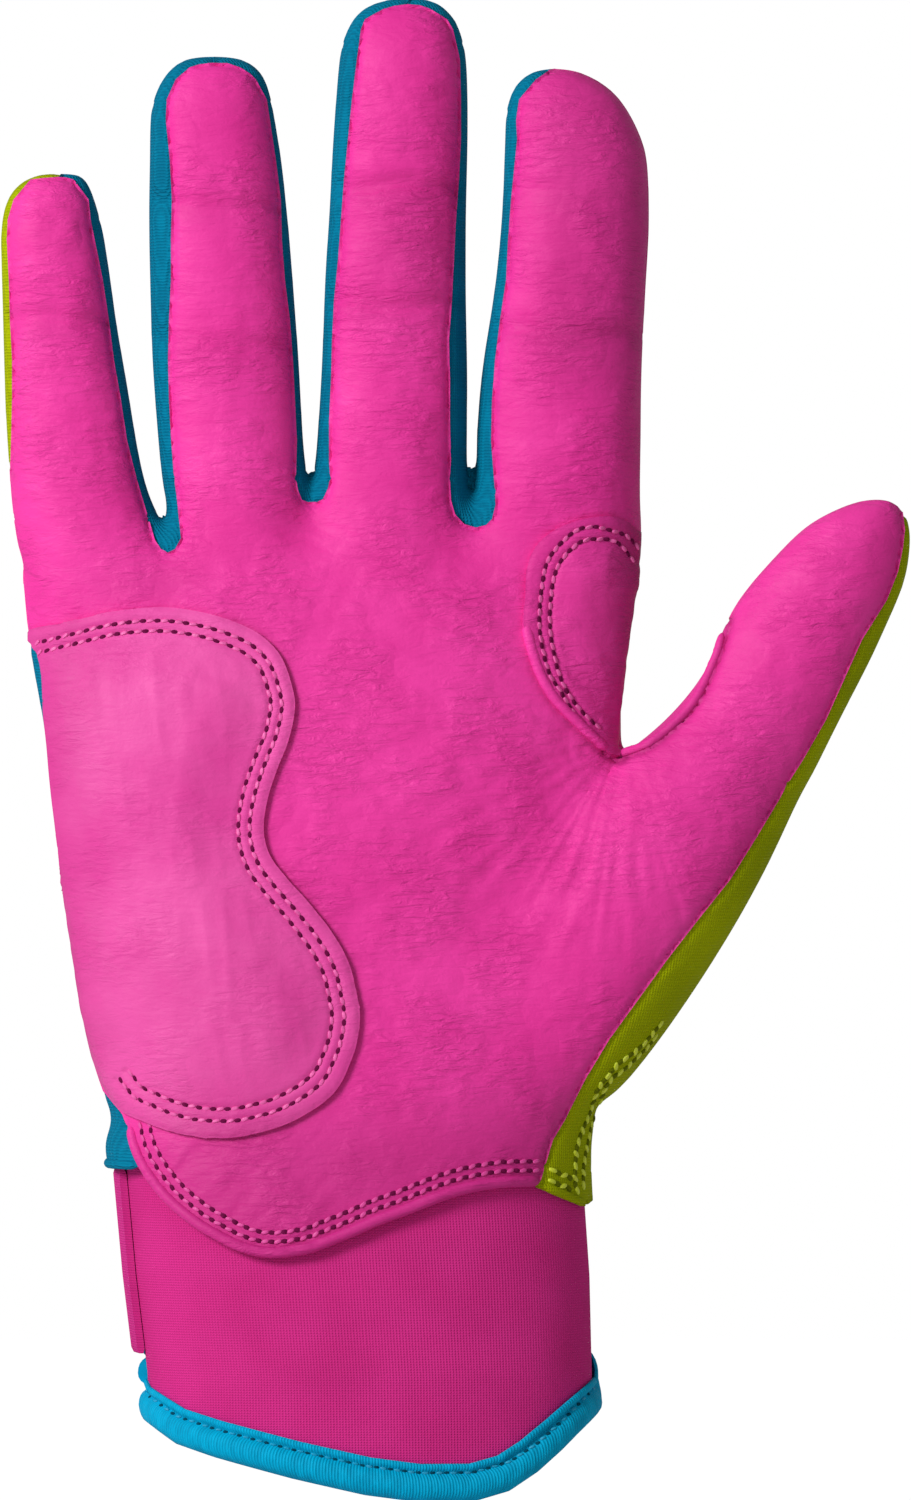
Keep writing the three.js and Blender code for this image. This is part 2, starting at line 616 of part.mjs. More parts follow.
const backBinding = binding(backHem, halfGap, reach);
piece("hem_binding_front", binding(hemLine, -reach, -halfGap), blueCloth);
piece("hem_binding_back_ulnar",
  backBinding.intersect(between(-reach, leftOfSlit, -reach, reach, -reach, reach)), blueCloth);
piece("hem_binding_back_thumb",
  backBinding.intersect(between(rightOfSlit, reach, -reach, reach, -reach, reach)), blueCloth);

// A layer of the cuff between two distances out from its face
const layer = (inner, outer) => cuffForm(outer).subtract(cuffForm(inner));
const insideLayer = layer(-neoprene - seamGap - thinCloth, -neoprene - seamGap);
const insideFoot = backHemRise + bindingLap + seamGap + overrun / 2;

piece("vent_gusset", insideLayer.intersect(between(slitOffset - ventHalfWidth, slitOffset + ventHalfWidth,
  insideFoot, cuffBackTop - seamGap, 0, reach)), blueCloth);
piece("wrist_elastic", insideLayer.intersect(between(-reach, reach,
  cuffHeight / 2, cuffHeight / 2 + elasticWidth, -reach, -overrun / 2)), whiteCloth);
piece("size_label", insideLayer.intersect(between(
  slitOffset - ventHalfWidth - overrun - labelWidth, slitOffset - ventHalfWidth - overrun,
  insideFoot, insideFoot + labelHeight, 0, reach)), whiteCloth);

// Closure: loop tape on the cuff, hook tape under the strap, and the strap over both
const hookLow = seamGap + loopPile + seamGap;
const strapInner = hookLow + hookTape + seamGap;
const strapOuter = strapInner + strapThickness;
const pileEnd = leftOfSlit - pileMargin;

piece("loop_tape", layer(seamGap, seamGap + loopPile).intersect(between(pileEnd - pileLength, pileEnd,
  strapLow + pileMargin, strapTop - pileMargin, pileSide, reach)), darkPinkCloth);
piece("strap_anchor", layer(seamGap, strapOuter).intersect(between(strapRoot + halfGap, reach,
  strapLow, strapTop, anchorBack, reach)), darkPinkCloth);

const strap = new THREE.Group();
glove.add(strap);
piece("wrist_strap", layer(strapInner, strapOuter).intersect(between(-reach, strapRoot - halfGap,
  strapLow, strapTop, -strapWrap, reach)), darkPinkCloth, strap);
piece("hook_tape", layer(hookLow, hookLow + hookTape).intersect(between(pileEnd - pileLength, pileEnd,
  strapLow + pileMargin, strapTop - pileMargin, pileSide, reach)), darkPinkCloth, strap);

// Fingers beyond the line they bend about, each in its own leaning frame

function panelOutline(finger, leftName, rightName, seamShare) {
  const rows = allRows.slice(ROOT_ROW, finger[leftName].length);
  const atRow = (sign, name, row) => new THREE.Vector2(
    sign * side(finger, name, row) * seamShare, alongShares[row] * finger.length);
  const foot = -overrun;
  const top = new THREE.Vector2(finger.tipSplitShare * finger.halfBreadth, finger.length - tipBand);
  return [
    new THREE.Vector2(-side(finger, leftName, ROOT_ROW) * seamShare, foot),
    new THREE.Vector2(side(finger, rightName, ROOT_ROW) * seamShare, foot),
    ...rows.map((row) => atRow(1, rightName, row)),
    top,
    ...rows.map((row) => atRow(-1, leftName, row)).reverse(),
  ];
}

function fingerPieces(name, finger) {
  const group = new THREE.Group();
  group.applyMatrix4(frameOf(finger));
  glove.add(group);
  const shell = fingerForm(finger, 0).intersect(beyondRoot(halfGap)).subtract(fingerForm(finger, -skin));
  const front = region(panelOutline(finger, "frontLeftShares", "frontRightShares", 1), -reach, 0);
  const backLeft = finger.leftShares.slice(0, finger.frontLeftShares.length);
  const backRight = finger.rightShares.slice(0, finger.frontLeftShares.length);
  const backShape = { ...finger, backLeft, backRight };
  const back = region(panelOutline(backShape, "backLeft", "backRight", backSeamShare), 0, reach);
  const split = finger.tipSplitShare * finger.halfBreadth;
  const halves = {
    left: between(-reach, split - halfGap, -reach, reach, -reach, reach),
    right: between(split + halfGap, reach, -reach, reach, -reach, reach),
  };
  const frontCut = finger.frontTakes
    ? front.own.add(halves[finger.frontTakes].subtract(back.wide)) : front.own;
  const backCut = finger.backTakes
    ? back.own.add(halves[finger.backTakes].subtract(front.wide)) : back.own;
  piece(name + "_front_leather", shell.intersect(frontCut), pinkLeather, group);
  const green = finger === fingers.little || finger === fingers.thumb;
  piece(name + "_back_panel", shell.intersect(backCut), green ? greenCloth : blueCloth, group);
  ["left", "right"].filter((s) => s !== finger.frontTakes && s !== finger.backTakes).forEach((s) => {
    piece(name + "_" + s + "_fourchette",
      without(shell.intersect(halves[s]), front.wide, back.wide), blueCloth, group);
  });
}

Object.entries(fingers).forEach(([name, finger]) => fingerPieces(name, finger));

export default glove;
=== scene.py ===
# %% [markdown]
# # A padded batting glove for the right hand
# The glove is filled out as it is on a hand: fingers up, palm to the camera, thumb to the right.
# A real one is cut from flat pieces of leather and stretch cloth, which only take their shape when
# a hand fills them. So one smooth form of the hand is made first, and every panel is then cut out
# of that form with a block that has the panel's outline. Panels cut so meet exactly at their seams.

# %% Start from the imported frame
import math

import bmesh
import bpy
import numpy as np
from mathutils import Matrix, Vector
from mathutils.bvhtree import BVHTree
from mathutils.kdtree import KDTree


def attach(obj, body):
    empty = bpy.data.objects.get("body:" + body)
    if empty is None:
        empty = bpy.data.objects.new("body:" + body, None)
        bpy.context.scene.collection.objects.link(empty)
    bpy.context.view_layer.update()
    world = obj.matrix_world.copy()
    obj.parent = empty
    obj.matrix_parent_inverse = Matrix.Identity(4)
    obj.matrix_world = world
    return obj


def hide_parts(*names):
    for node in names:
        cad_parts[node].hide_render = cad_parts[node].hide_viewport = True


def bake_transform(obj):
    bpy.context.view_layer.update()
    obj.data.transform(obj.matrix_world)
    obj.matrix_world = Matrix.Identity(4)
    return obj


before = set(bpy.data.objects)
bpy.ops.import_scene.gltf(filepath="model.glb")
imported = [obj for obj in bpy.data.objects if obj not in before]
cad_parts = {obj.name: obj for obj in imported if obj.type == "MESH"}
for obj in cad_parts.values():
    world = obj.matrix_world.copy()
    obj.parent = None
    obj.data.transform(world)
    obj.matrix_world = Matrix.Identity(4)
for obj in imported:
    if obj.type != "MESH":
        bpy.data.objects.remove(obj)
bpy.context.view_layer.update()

# %% [markdown]
# Places are written as pixels of the photograph, which is 911 by 1500. One pixel is 0.1633 mm at
# the glove's middle plane. The wrist opening's centre is at pixel 370, 1385, and is the origin.
# The camera stands 2.2 m off, so what is nearer to it lies a little further in than it looks.

# %% Places and sizes
MM = 0.001
PX = 0.16333 * MM
PI = math.pi
WRIST_X, WRIST_Y = 370, 1385  # the wrist opening's centre
CAMERA_FAR = 2.2
MIDDLE = (455.5, 750)  # the middle of the photograph


def spot(px, py, y=0.0):
    """The place at depth y that is seen at a pixel."""
    shrink = 1 + y / CAMERA_FAR
    px, py = MIDDLE[0] + (px - MIDDLE[0]) * shrink, MIDDLE[1] + (py - MIDDLE[1]) * shrink
    return Vector(((px - WRIST_X) * PX, y, (WRIST_Y - py) * PX))


def in_pixels(co):
    """The pixels at which places are seen."""
    shrink = 1 + co[:, 1] / CAMERA_FAR
    return (MIDDLE[0] + (co[:, 0] / PX + WRIST_X - MIDDLE[0]) / shrink,
            MIDDLE[1] + (WRIST_Y - co[:, 2] / PX - MIDDLE[1]) / shrink)


def above_wrist(height):
    """The pixel row that lies so many mm above the wrist opening's centre."""
    return WRIST_Y - height * MM / PX


def alone(ob):
    bpy.ops.object.select_all(action="DESELECT")
    ob.select_set(True)
    bpy.context.view_layer.objects.active = ob
    return ob


def modify(ob, kind, **settings):
    alone(ob)
    modifier = ob.modifiers.new(kind, kind)
    for key, value in settings.items():
        setattr(modifier, key, value)
    bpy.ops.object.modifier_apply(modifier=modifier.name)
    return ob


def points_of(ob):
    co = np.empty(len(ob.data.vertices) * 3)
    ob.data.vertices.foreach_get("co", co)
    return co.reshape(-1, 3)


def move_points(ob, co):
    ob.data.vertices.foreach_set("co", np.ascontiguousarray(co).ravel())
    ob.data.update()


def normals_of(ob):
    no = np.empty(len(ob.data.vertices) * 3)
    ob.data.vertex_normals.foreach_get("vector", no)
    return no.reshape(-1, 3)


def smooth_line(points, closed=False, step=4.0):
    """A smooth line through the points, with a point about every step."""
    pts = [np.array(p, float) for p in points]
    n = len(pts)
    out = []
    for i in range(n if closed else n - 1):
        p1, p2 = pts[i], pts[(i + 1) % n]
        p0 = pts[(i - 1) % n] if closed or i else 2 * p1 - p2
        p3 = pts[(i + 2) % n] if closed or i + 2 < n else 2 * p2 - p1
        count = max(1, int(round(np.linalg.norm(p2 - p1) / step)))
        for t in np.arange(count) / count:
            out.append(0.5 * (2 * p1 + (p2 - p0) * t + (2 * p0 - 5 * p1 + 4 * p2 - p3) * t**2
                              + (3 * p1 - p0 - 3 * p2 + p3) * t**3))
    return out if closed else out + [pts[-1]]


def even_line(points, pitch):
    """Points every pitch along a line, and the line's direction at each."""
    line = np.array(points, float)
    steps = np.linalg.norm(np.diff(line, axis=0), axis=1)
    along = np.concatenate([[0], np.cumsum(steps)])
    at = np.arange(pitch / 2, along[-1], pitch)
    at_lengths = lambda v: np.stack([np.interp(v, along, line[:, k]) for k in range(line.shape[1])], axis=1)
    way = at_lengths(at + pitch / 4) - at_lengths(at - pitch / 4)
    return at_lengths(at), way / np.linalg.norm(way, axis=1)[:, None]


# %% [markdown]
# The form is lofted, as a hand would be blocked out: a circle is extruded from section to section,
# and each new ring is set to the width seen in the photograph. A section is a rounded shape between
# its left and right point. Rows are: height, left and right in pixels, half depth in mm.

# %% Sections of the fingers, the palm and the thumb
FINGER_ROWS = {
    "little": [
        (640, 60, 150, 5.0), (600, 36, 172, 7.4), (560, 22, 178, 8.4), (540, 16, 174, 8.4),
        (520, 14, 160, 8.2), (500, 11, 151, 8.1), (480, 10, 144, 8.0), (440, 7, 136, 8.0),
        (400, 5, 130, 8.0), (360, 4, 123, 7.9), (320, 3, 116, 7.6), (280, 2, 111, 7.8),
        (240, 1, 105, 7.5), (220, 2, 101, 7.2), (200, 7, 95, 6.3), (186, 17, 90, 4.8),
        (178, 30, 85, 3.2), (174, 44, 78, 1.6)],
    "ring": [
        (640, 170, 300, 6.0), (600, 156, 322, 8.2), (560, 152, 328, 9.2), (530, 166, 324, 9.2),
        (515, 168, 320, 9.2), (500, 166, 315, 9.1), (487, 163, 310, 9.0), (470, 161, 306, 9.0),
        (440, 158, 303, 9.0), (400, 155, 301, 9.0), (360, 152, 299, 8.8), (320, 151, 296, 8.8),
        (280, 150, 293, 8.9), (240, 149, 290, 8.8), (200, 149, 286, 8.5), (160, 150, 282, 8.6),
        (120, 150, 275, 8.0), (100, 153, 272, 7.3), (80, 162, 266, 6.0), (68, 172, 258, 4.4),
        (60, 184, 244, 2.6), (57, 198, 230, 1.2)],
    "middle": [
        (640, 320, 460, 6.0), (600, 298, 482, 8.4), (560, 292, 486, 9.4), (520, 301, 480, 9.5),
        (503, 306, 472, 9.5), (487, 311, 467, 9.4), (470, 315, 466, 9.4), (440, 317, 466, 9.4),
        (400, 320, 468, 9.3), (340, 323, 467, 9.1), (300, 324, 466, 9.0), (260, 326, 466, 9.2),
        (220, 329, 466, 9.2), (180, 331, 467, 8.9), (140, 333, 468, 9.0), (100, 336, 468, 8.9),
        (60, 339, 467, 8.1), (40, 343, 463, 7.2), (22, 351, 457, 5.5), (10, 361, 447, 3.8),
        (2, 378, 436, 2.0), (-1, 395, 424, 1.0)],
    "index": [
        (640, 480, 610, 6.0), (600, 462, 632, 8.4), (565, 456, 640, 9.4), (535, 460, 642, 9.6),
        (515, 465, 641, 9.6), (500, 473, 640, 9.6), (480, 477, 640, 9.6), (440, 476, 641, 9.6),
        (400, 479, 641, 9.5), (360, 483, 642, 9.4), (320, 490, 644, 9.2), (280, 496, 646, 9.3),
        (240, 500, 649, 9.3), (200, 503, 649, 9.1), (160, 504, 648, 8.9), (140, 505, 642, 8.4),
        (120, 505, 633, 7.8), (100, 508, 621, 6.6), (84, 516, 604, 4.8), (74, 528, 584, 3.0),
        (69, 541, 568, 1.4)],
}
PALM_ROWS = [
    (1310, 136, 597, 19.9), (1250, 126, 594, 19.8), (1205, 117, 592, 19.5), (1165, 109, 590, 19.0),
    (1148, 105.5, 590, 18.7), (1137, 107, 591, 18.5), (1120, 115, 593, 18.3), (1104, 109, 595, 17.9),
    (1090, 103.5, 596, 17.6), (1060, 93, 598, 17.0),
    (1020, 85, 598, 16.5), (980, 79, 600, 16.1), (940, 73, 602, 15.8), (900, 67, 605, 15.5),
    (860, 61, 608, 15.1), (820, 56, 612, 14.8), (780, 51, 618, 14.4), (740, 48, 620, 14.0),
    (700, 41, 618, 13.2), (660, 33, 621, 12.4), (620, 28, 626, 11.4), (590, 25, 633, 10.4),
    (566, 23, 637, 9.4), (552, 30, 634, 8.0)]
THUMB_BASE = [  # left and right point in pixels, half depth and how far forward in mm
    ((430, 1120), (590, 1125), 10.8, 0), ((440, 1060), (644, 1062), 15.0, 0),
    ((450, 1000), (686, 1003), 15.2, 1.0), ((470, 930), (731, 933), 14.4, 2.0),
    ((520, 850), (771, 860), 13.2, 2.4), ((590, 775), (797, 800), 12.0, 2.4),
    ((652, 736), (812, 775), 11.0, 2.2)]
THUMB_ROOT, THUMB_LEAN = (757, 718), math.radians(30)
THUMB_ROWS = [  # along, left, right, half depth, forward, all in mm
    (0, 11.0, 12.2, 9.9, 2.0), (6.2, 11.4, 11.8, 9.7, 2.0), (12.5, 12.6, 11.5, 9.6, 2.0),
    (18.7, 11.9, 11.2, 9.5, 2.1), (25, 10.5, 10.5, 9.4, 2.3), (31.2, 9.0, 9.9, 8.8, 2.6),
    (36.2, 5.8, 7.9, 7.0, 2.9), (39.1, 3.3, 6.3, 5.0, 3.0), (40.8, 1.0, 4.6, 2.8, 3.0),
    (41.6, -0.6, 3.0, 1.2, 3.0)]


def thumb_point(along, across):
    """A point of the thumb's own frame as pixels."""
    s, c = math.sin(THUMB_LEAN), math.cos(THUMB_LEAN)
    return (THUMB_ROOT[0] + (along * s + across * c) * MM / PX,
            THUMB_ROOT[1] + (-along * c + across * s) * MM / PX)


def curl(py, top):
    """How far forward a finger's middle lies, in mm: a filled finger bends a little to the palm."""
    return 2.8 * (max(0.0, 440 - py) / (440 - top)) ** 1.4


FINGER_TOPS = {"little": 174, "ring": 57, "middle": -1, "index": 69}


def level(rows, top=0):
    """Stations of level rows, for a loft."""
    return [((left, py), (right, py), deep, curl(py, top)) for py, left, right, deep in rows]


thumb_stations = THUMB_BASE + [
    (thumb_point(along, -left), thumb_point(along, right), deep, forward)
    for along, left, right, deep, forward in THUMB_ROWS]
print("sections:", {name: len(rows) for name, rows in FINGER_ROWS.items()}, "palm", len(PALM_ROWS),
      "thumb", len(thumb_stations))

# %% Loft a form from section to section
SUBDIVISION_SHRINK = 0.989  # a subdivided ring of 24 corners lies this far inside its corners


def section_corner(station, turn, power):
    left, right, deep, forward = station
    a, b = spot(*left), spot(*right)
    bulge = lambda v: math.copysign(abs(v) ** (2 / power), v)
    across = (b - a) / 2 * bulge(math.cos(turn)) / SUBDIVISION_SHRINK
    depth = deep * MM * bulge(math.sin(turn)) / SUBDIVISION_SHRINK
    return (a + b) / 2 + across + Vector((0, depth - forward * MM, 0))


def rings(name, loops):
    """A closed body through loops of points: one flat ring, extruded from each loop to the next."""
    corners = len(loops[0])
    bpy.ops.object.select_all(action="DESELECT")
    bpy.ops.mesh.primitive_circle_add(vertices=corners, radius=10 * MM, fill_type="NGON")
    ob = bpy.context.object
    ob.name = name
    bpy.ops.object.mode_set(mode="EDIT")
    bpy.ops.mesh.select_all(action="SELECT")
    mark = lambda v: tuple(round(c, 9) for c in v.co)
    corner_of = {mark(v): v.index for v in bmesh.from_edit_mesh(ob.data).verts}
    for i, loop in enumerate(loops):
        if i:
            bpy.ops.mesh.extrude_region_move()
        bm = bmesh.from_edit_mesh(ob.data)
        ring = [(v, corner_of[mark(v)]) for v in bm.verts if v.select]
        for v, corner in ring:
            v.co = loop[corner]
        corner_of = {mark(v): corner for v, corner in ring}
        bmesh.update_edit_mesh(ob.data)
    bpy.ops.mesh.select_all(action="SELECT")
    bpy.ops.mesh.normals_make_consistent(inside=False)
    bpy.ops.object.mode_set(mode="OBJECT")
    return ob


def loft(name, stations, corners=24, power=2.2):
    turns = [2 * math.pi * i / corners for i in range(corners)]
    ob = rings(name, [[section_corner(station, turn, power) for turn in turns] for station in stations])
    return modify(ob, "SUBSURF", levels=2, render_levels=2)


def joined(name, *obs):
    alone(obs[0])
    for ob in obs:
        ob.select_set(True)
    bpy.ops.object.join()
    obs[0].name = name
    return obs[0]


blocks = [loft("block_" + name, level(rows, FINGER_TOPS[name])) for name, rows in FINGER_ROWS.items()]
blocks.append(loft("block_palm", level(PALM_ROWS), corners=32, power=2.35))
blocks.append(loft("block_thumb", thumb_stations))
hand = joined("hand_form", *blocks)
modify(hand, "REMESH", mode="VOXEL", voxel_size=0.7 * MM)
modify(hand, "SMOOTH", factor=0.5, iterations=14)
print("hand form:", len(hand.data.polygons), "faces", [round(1000 * d, 1) for d in hand.dimensions])

# %% [markdown]
# The blocks still meet in creases where a hand runs on smoothly: below the fingers and round the
# ball of the thumb. More smoothing there, on what faces the front and the back only, leaves the
# outline as it is.

# %% Smooth the palm and the ball of the thumb
def step_up(v, low, high):
    """A smooth step from 0 to 1 between two values."""
    t = np.clip((v - low) / (high - low), 0, 1)
    return t * t * (3 - 2 * t)


def step_down(v, low, high):
    return 1 - step_up(v, low, high)


def weigh(ob, name, weights):
    """A vertex group that holds the weights, in tenths."""
    group = ob.vertex_groups.new(name=name)
    for tenth in range(1, 11):
        inside = np.nonzero(np.ceil(weights * 10 - 1e-6).astype(int) == tenth)[0]
        group.add([int(i) for i in inside], tenth / 10, "REPLACE")
    return group


px, py = in_pixels(points_of(hand))
facing = np.abs(normals_of(hand)[:, 1])
below_fingers = step_up(py, 500, 600)
weigh(hand, "palm", step_up(facing, 0.45, 0.85) * below_fingers * step_down(py, 1180, 1240))
modify(hand, "SMOOTH", factor=0.5, iterations=160, vertex_group="palm")
ball = step_up(px, 300, 400) * step_up(py, 600, 680) * step_down(py, 1120, 1200)
weigh(hand, "ball", step_up(facing, 0.5, 0.9) * ball)
modify(hand, "SMOOTH", factor=0.5, iterations=500, vertex_group="ball")
roots = step_up(py, 500, 560) * step_down(py, 620, 700)
weigh(hand, "roots", step_up(facing, 0.35, 0.8) * roots)
modify(hand, "SMOOTH", factor=0.5, iterations=300, vertex_group="roots")

# %% [markdown]
# Leather on a filled glove isn't smooth: it creases where the fingers bend, wrinkles round the
# thumb's root and ripples towards the hem. The relief is pressed into the form before the panels
# are cut, so that it runs on across the seams.

# %% Press creases and wrinkles into the palm side
def value_noise(x, y, seed):
    """Smooth noise between -1 and 1, one cell to a unit."""
    grid = np.random.default_rng(seed).uniform(-1, 1, (64, 64))
    i, j = np.floor(x).astype(int), np.floor(y).astype(int)
    u, v = x - i, y - j
    u, v = u * u * (3 - 2 * u), v * v * (3 - 2 * v)
    at = lambda a, b: grid[a % 64, b % 64]
    near = at(i, j) * (1 - u) + at(i + 1, j) * u
    far = at(i, j + 1) * (1 - u) + at(i + 1, j + 1) * u
    return near * (1 - v) + far * v


def wrinkles(x, y, angle, length, breadth, seed):
    """Long narrow folds that run along the angle; length and breadth in mm."""
    c, s = np.cos(angle), np.sin(angle)
    along, across = (x * c + y * s) * PX / MM / length, (y * c - x * s) * PX / MM / breadth
    folds = 1 - 2 * np.abs(value_noise(along, across, seed))
    return 0.65 * folds + 0.35 * value_noise(along * 1.7, across * 2.1, seed + 1)


CREASES = {  # height and depth in mm of the folds across each finger
    "little": [(225, 0.30), (320, 0.50)], "ring": [(205, 0.45), (342, 0.30)],
    "middle": [(186, 0.60), (303, 0.48)], "index": [(195, 0.20), (330, 0.45)]}

co, no = points_of(hand), normals_of(hand)
px, py = in_pixels(co)
palm_side = step_up(-no[:, 1], 0.05, 0.55)
rise = np.zeros(len(co))
for name, folds in CREASES.items():
    rows = np.array(FINGER_ROWS[name])
    left, right = (np.interp(-py, -rows[:, 0], rows[:, k]) for k in (1, 2))
    on_finger = (px > left - 8) & (px < right + 8) & (py < 500)
    for row, depth in folds:
        wander = 5 * value_noise(px / 45, py * 0 + row, 5) + 0.04 * (px - (left + right) / 2)
        off = (py - row - wander) * PX / MM
        fold = -depth * np.exp(-(off / 1.1)**2) - 0.45 * depth * np.exp(-(off / 3.5)**2)
        fold += 0.3 * depth * np.exp(-((np.abs(off) - 3.2) / 1.6)**2)
        rise += np.where(on_finger, fold, 0)
crotch_x, crotch_y = px - 625, py - 735
from_crotch = np.hypot(crotch_x, crotch_y) * PX / MM
fields = [  # where, how deep in mm, and the folds
    (step_down(py, 470, 540), 0.13, wrinkles(px, py, 0.05, 9, 2.4, 11)),
    (step_up(py, 470, 540) * step_down(py, 620, 760) * step_down(px, 430, 520), 0.20,
     wrinkles(px, py, 0.42, 13, 3.0, 21)),
    (step_up(py, 560, 620) * step_up(from_crotch, 3, 9) * step_down(from_crotch, 26, 48)
     * step_down(px, 640, 720) * step_down(px - py * 0.75, 40, 90), 0.2,
     value_noise(np.arctan2(crotch_y, crotch_x) * 26, from_crotch / 11, 31)),
    (step_up(py, 640, 760) * step_down(py, 1090, 1140) * step_up(px, 240, 330)
     * step_down(px, 420, 560), 0.14, wrinkles(px, py, -0.12, 12, 3.0, 41)),
    (step_up(py, 1110, 1150) * step_down(px, 300, 420), 0.20, wrinkles(px, py, -0.85, 8, 1.9, 51)),
    (step_up(px, 620, 700), 0.12, wrinkles(px, py, -0.5, 10, 2.8, 61)),
    (step_up(py, 470, 600), 0.35, value_noise(px / 110, py / 130, 71)),
]
for mask, depth, folds in fields:
    rise += mask * depth * folds
move_points(hand, co + no * (rise * palm_side * MM)[:, None])
print("relief from", round(float(rise.min()), 2), "to", round(float(rise.max()), 2), "mm")

# %% [markdown]
# A block with a panel's outline, seen from the palm, cuts the panel out of the form. The faces that
# the block itself leaves are taken away again, so that a bare skin stays, and the skin then gets
# the thickness of its leather or cloth, inwards.

# %% Cut a panel out of a form
cutters = []


def prism(name, outline, near=-60.0, far=60.0, top=None):
    """A closed block over an outline in pixels, from near to far in mm. With a fingertip's height,
    the end at the finger's middle follows its curl."""
    bpy.ops.object.select_all(action="DESELECT")
    mesh = bpy.data.meshes.new(name)
    corners = [spot(x, y, near * MM) for x, y in outline]
    mesh.from_pydata(corners, [], [list(range(len(corners)))])
    ob = bpy.data.objects.new(name, mesh)
    bpy.context.scene.collection.objects.link(ob)
    alone(ob)
    bpy.ops.object.mode_set(mode="EDIT")
    bpy.ops.mesh.select_all(action="SELECT")
    bpy.ops.mesh.extrude_region_move(TRANSFORM_OT_translate={"value": (0, (far - near) * MM, 0)})
    wider = (CAMERA_FAR + far * MM) / (CAMERA_FAR + near * MM)
    bpy.ops.transform.resize(value=(wider, 1, wider), center_override=spot(*MIDDLE))
    bpy.ops.mesh.select_all(action="SELECT")
    bpy.ops.mesh.normals_make_consistent(inside=False)
    bpy.ops.object.mode_set(mode="OBJECT")
    if top is not None:
        for v in ob.data.vertices:
            if abs(v.co.y) < 1e-6:
                v.co.y -= curl(WRIST_Y - v.co.z / PX, top) * MM
    cutters.append(ob)
    return ob


def copy_of(ob, name):
    new = ob.copy()
    new.data = ob.data.copy()
    new.name = name
    bpy.context.scene.collection.objects.link(new)
    return new


CUT = bpy.data.materials.new("cut face")
SKIN = bpy.data.materials.new("bare skin")


def boolean(ob, operation, other):
    alone(ob)
    modifier = ob.modifiers.new("cut", "BOOLEAN")
    modifier.operation = operation
    modifier.object = other
    modifier.solver = "MANIFOLD"
    bpy.ops.object.modifier_apply(modifier=modifier.name)
    return ob


def combined(name, first, plus=(), minus=()):
    """A cutting block made of others."""
    ob = copy_of(first, name)
    cutters.append(ob)
    for other in plus:
        boolean(ob, "UNION", other)
    for other in minus:
        boolean(ob, "DIFFERENCE", other)
    return ob


def painted(ob, slot):
    """Gives all of a body's faces one of the two slots, skin or cut."""
    ob.data.materials.clear()
    ob.data.materials.append(SKIN)
    ob.data.materials.append(CUT)
    ob.data.polygons.foreach_set("material_index", [slot] * len(ob.data.polygons))


def skin_in(form, name, block, *away):
    """The skin of a form that lies in a block and outside the others."""
    ob = copy_of(form, name)
    painted(ob, 0)
    for other in (block, *away):
        painted(other, 1)
    boolean(ob, "INTERSECT", block)
    for other in away:
        boolean(ob, "DIFFERENCE", other)
    bm = bmesh.new()
    bm.from_mesh(ob.data)
    cut = [f for f in bm.faces if f.material_index == 1]
    bmesh.ops.delete(bm, geom=cut, context="FACES")
    bmesh.ops.remove_doubles(bm, verts=bm.verts, dist=0.06 * MM)
    bm.to_mesh(ob.data)
    bm.free()
    ob.data.materials.clear()
    print(name, len(ob.data.polygons), "faces")
    return ob


# %% [markdown]
# The outlines of the panels follow the seams of the photograph. A finger's leather ends at its
# root, because a finger turns about its own hinge there; the cut is smooth and has no seam.

# %% Outlines of the finger panels
LEATHER = {
    "little": [(-20, 518), (-20, 476), (10, 470), (11, 440), (12, 400), (12, 360), (10, 320), (9, 280),
               (7, 240), (8, 220), (14, 200), (31, 180), (45, 178.5), (58, 177.5), (66, 178), (74, 180),
               (89, 200), (91, 220), (95, 240), (103, 280), (109, 320), (114, 360), (121, 400),
               (127, 440), (137, 480), (143, 500), (148.5, 518)],
    "ring": [(174, 478), (171, 440), (169, 400), (168, 360), (169, 320), (171, 280), (171, 240),
             (172, 200), (170, 160), (166, 120), (167, 100), (176, 80), (190, 68), (200, 65),
             (212, 63.5), (228, 64), (240, 68), (250, 74), (256, 80), (267, 100), (270, 120),
             (276, 160), (281, 200), (282, 240), (285, 280), (290, 320), (293, 360), (295, 400),
             (297, 440), (296, 478)],
    "middle": [(330, 478), (329, 460), (329, 420), (331, 380), (332, 340), (334, 300), (338, 260),
               (341, 220), (344, 180), (348, 140), (352, 100), (357, 60), (361, 30), (365, 20),
               (383, 10), (395, 6.5), (408, 5), (420, 6), (431, 10), (447, 20), (453, 30), (460, 60),
               (461, 100), (461, 140), (459, 180), (456, 220), (454, 260), (452, 300), (449, 340),
               (450, 380), (450, 420), (451, 460), (450, 478)],
    "index": [(495, 492), (494, 480), (491, 440), (492, 400), (495, 360), (500, 320), (506, 280),
              (508, 240), (511, 200), (515, 160), (517, 140), (516, 120), (519, 100), (536, 80),
              (545, 74), (555, 66), (560, 40), (690, 40), (690, 492)],
}
GAPS = {  # the line halfway between two neighbouring fingers, going up
    "left": [(-40, 518), (-40, -60)],
    "little_ring": [(163.5, 518), (158, 498), (153, 478), (147, 440), (142, 400), (133, 320), (125, 200),
                    (125, -60)],
    "ring_middle": [(311, 478), (310, 400), (308, 200), (308, -60)],
    "middle_index": [(471, 492), (470.5, 478), (471, 440), (473, 400), (475, 360), (478, 320), (481, 280),
                     (483, 240), (485, 200), (487, 140), (487, -60)],
    "right": [(690, 492), (690, -60)],
}
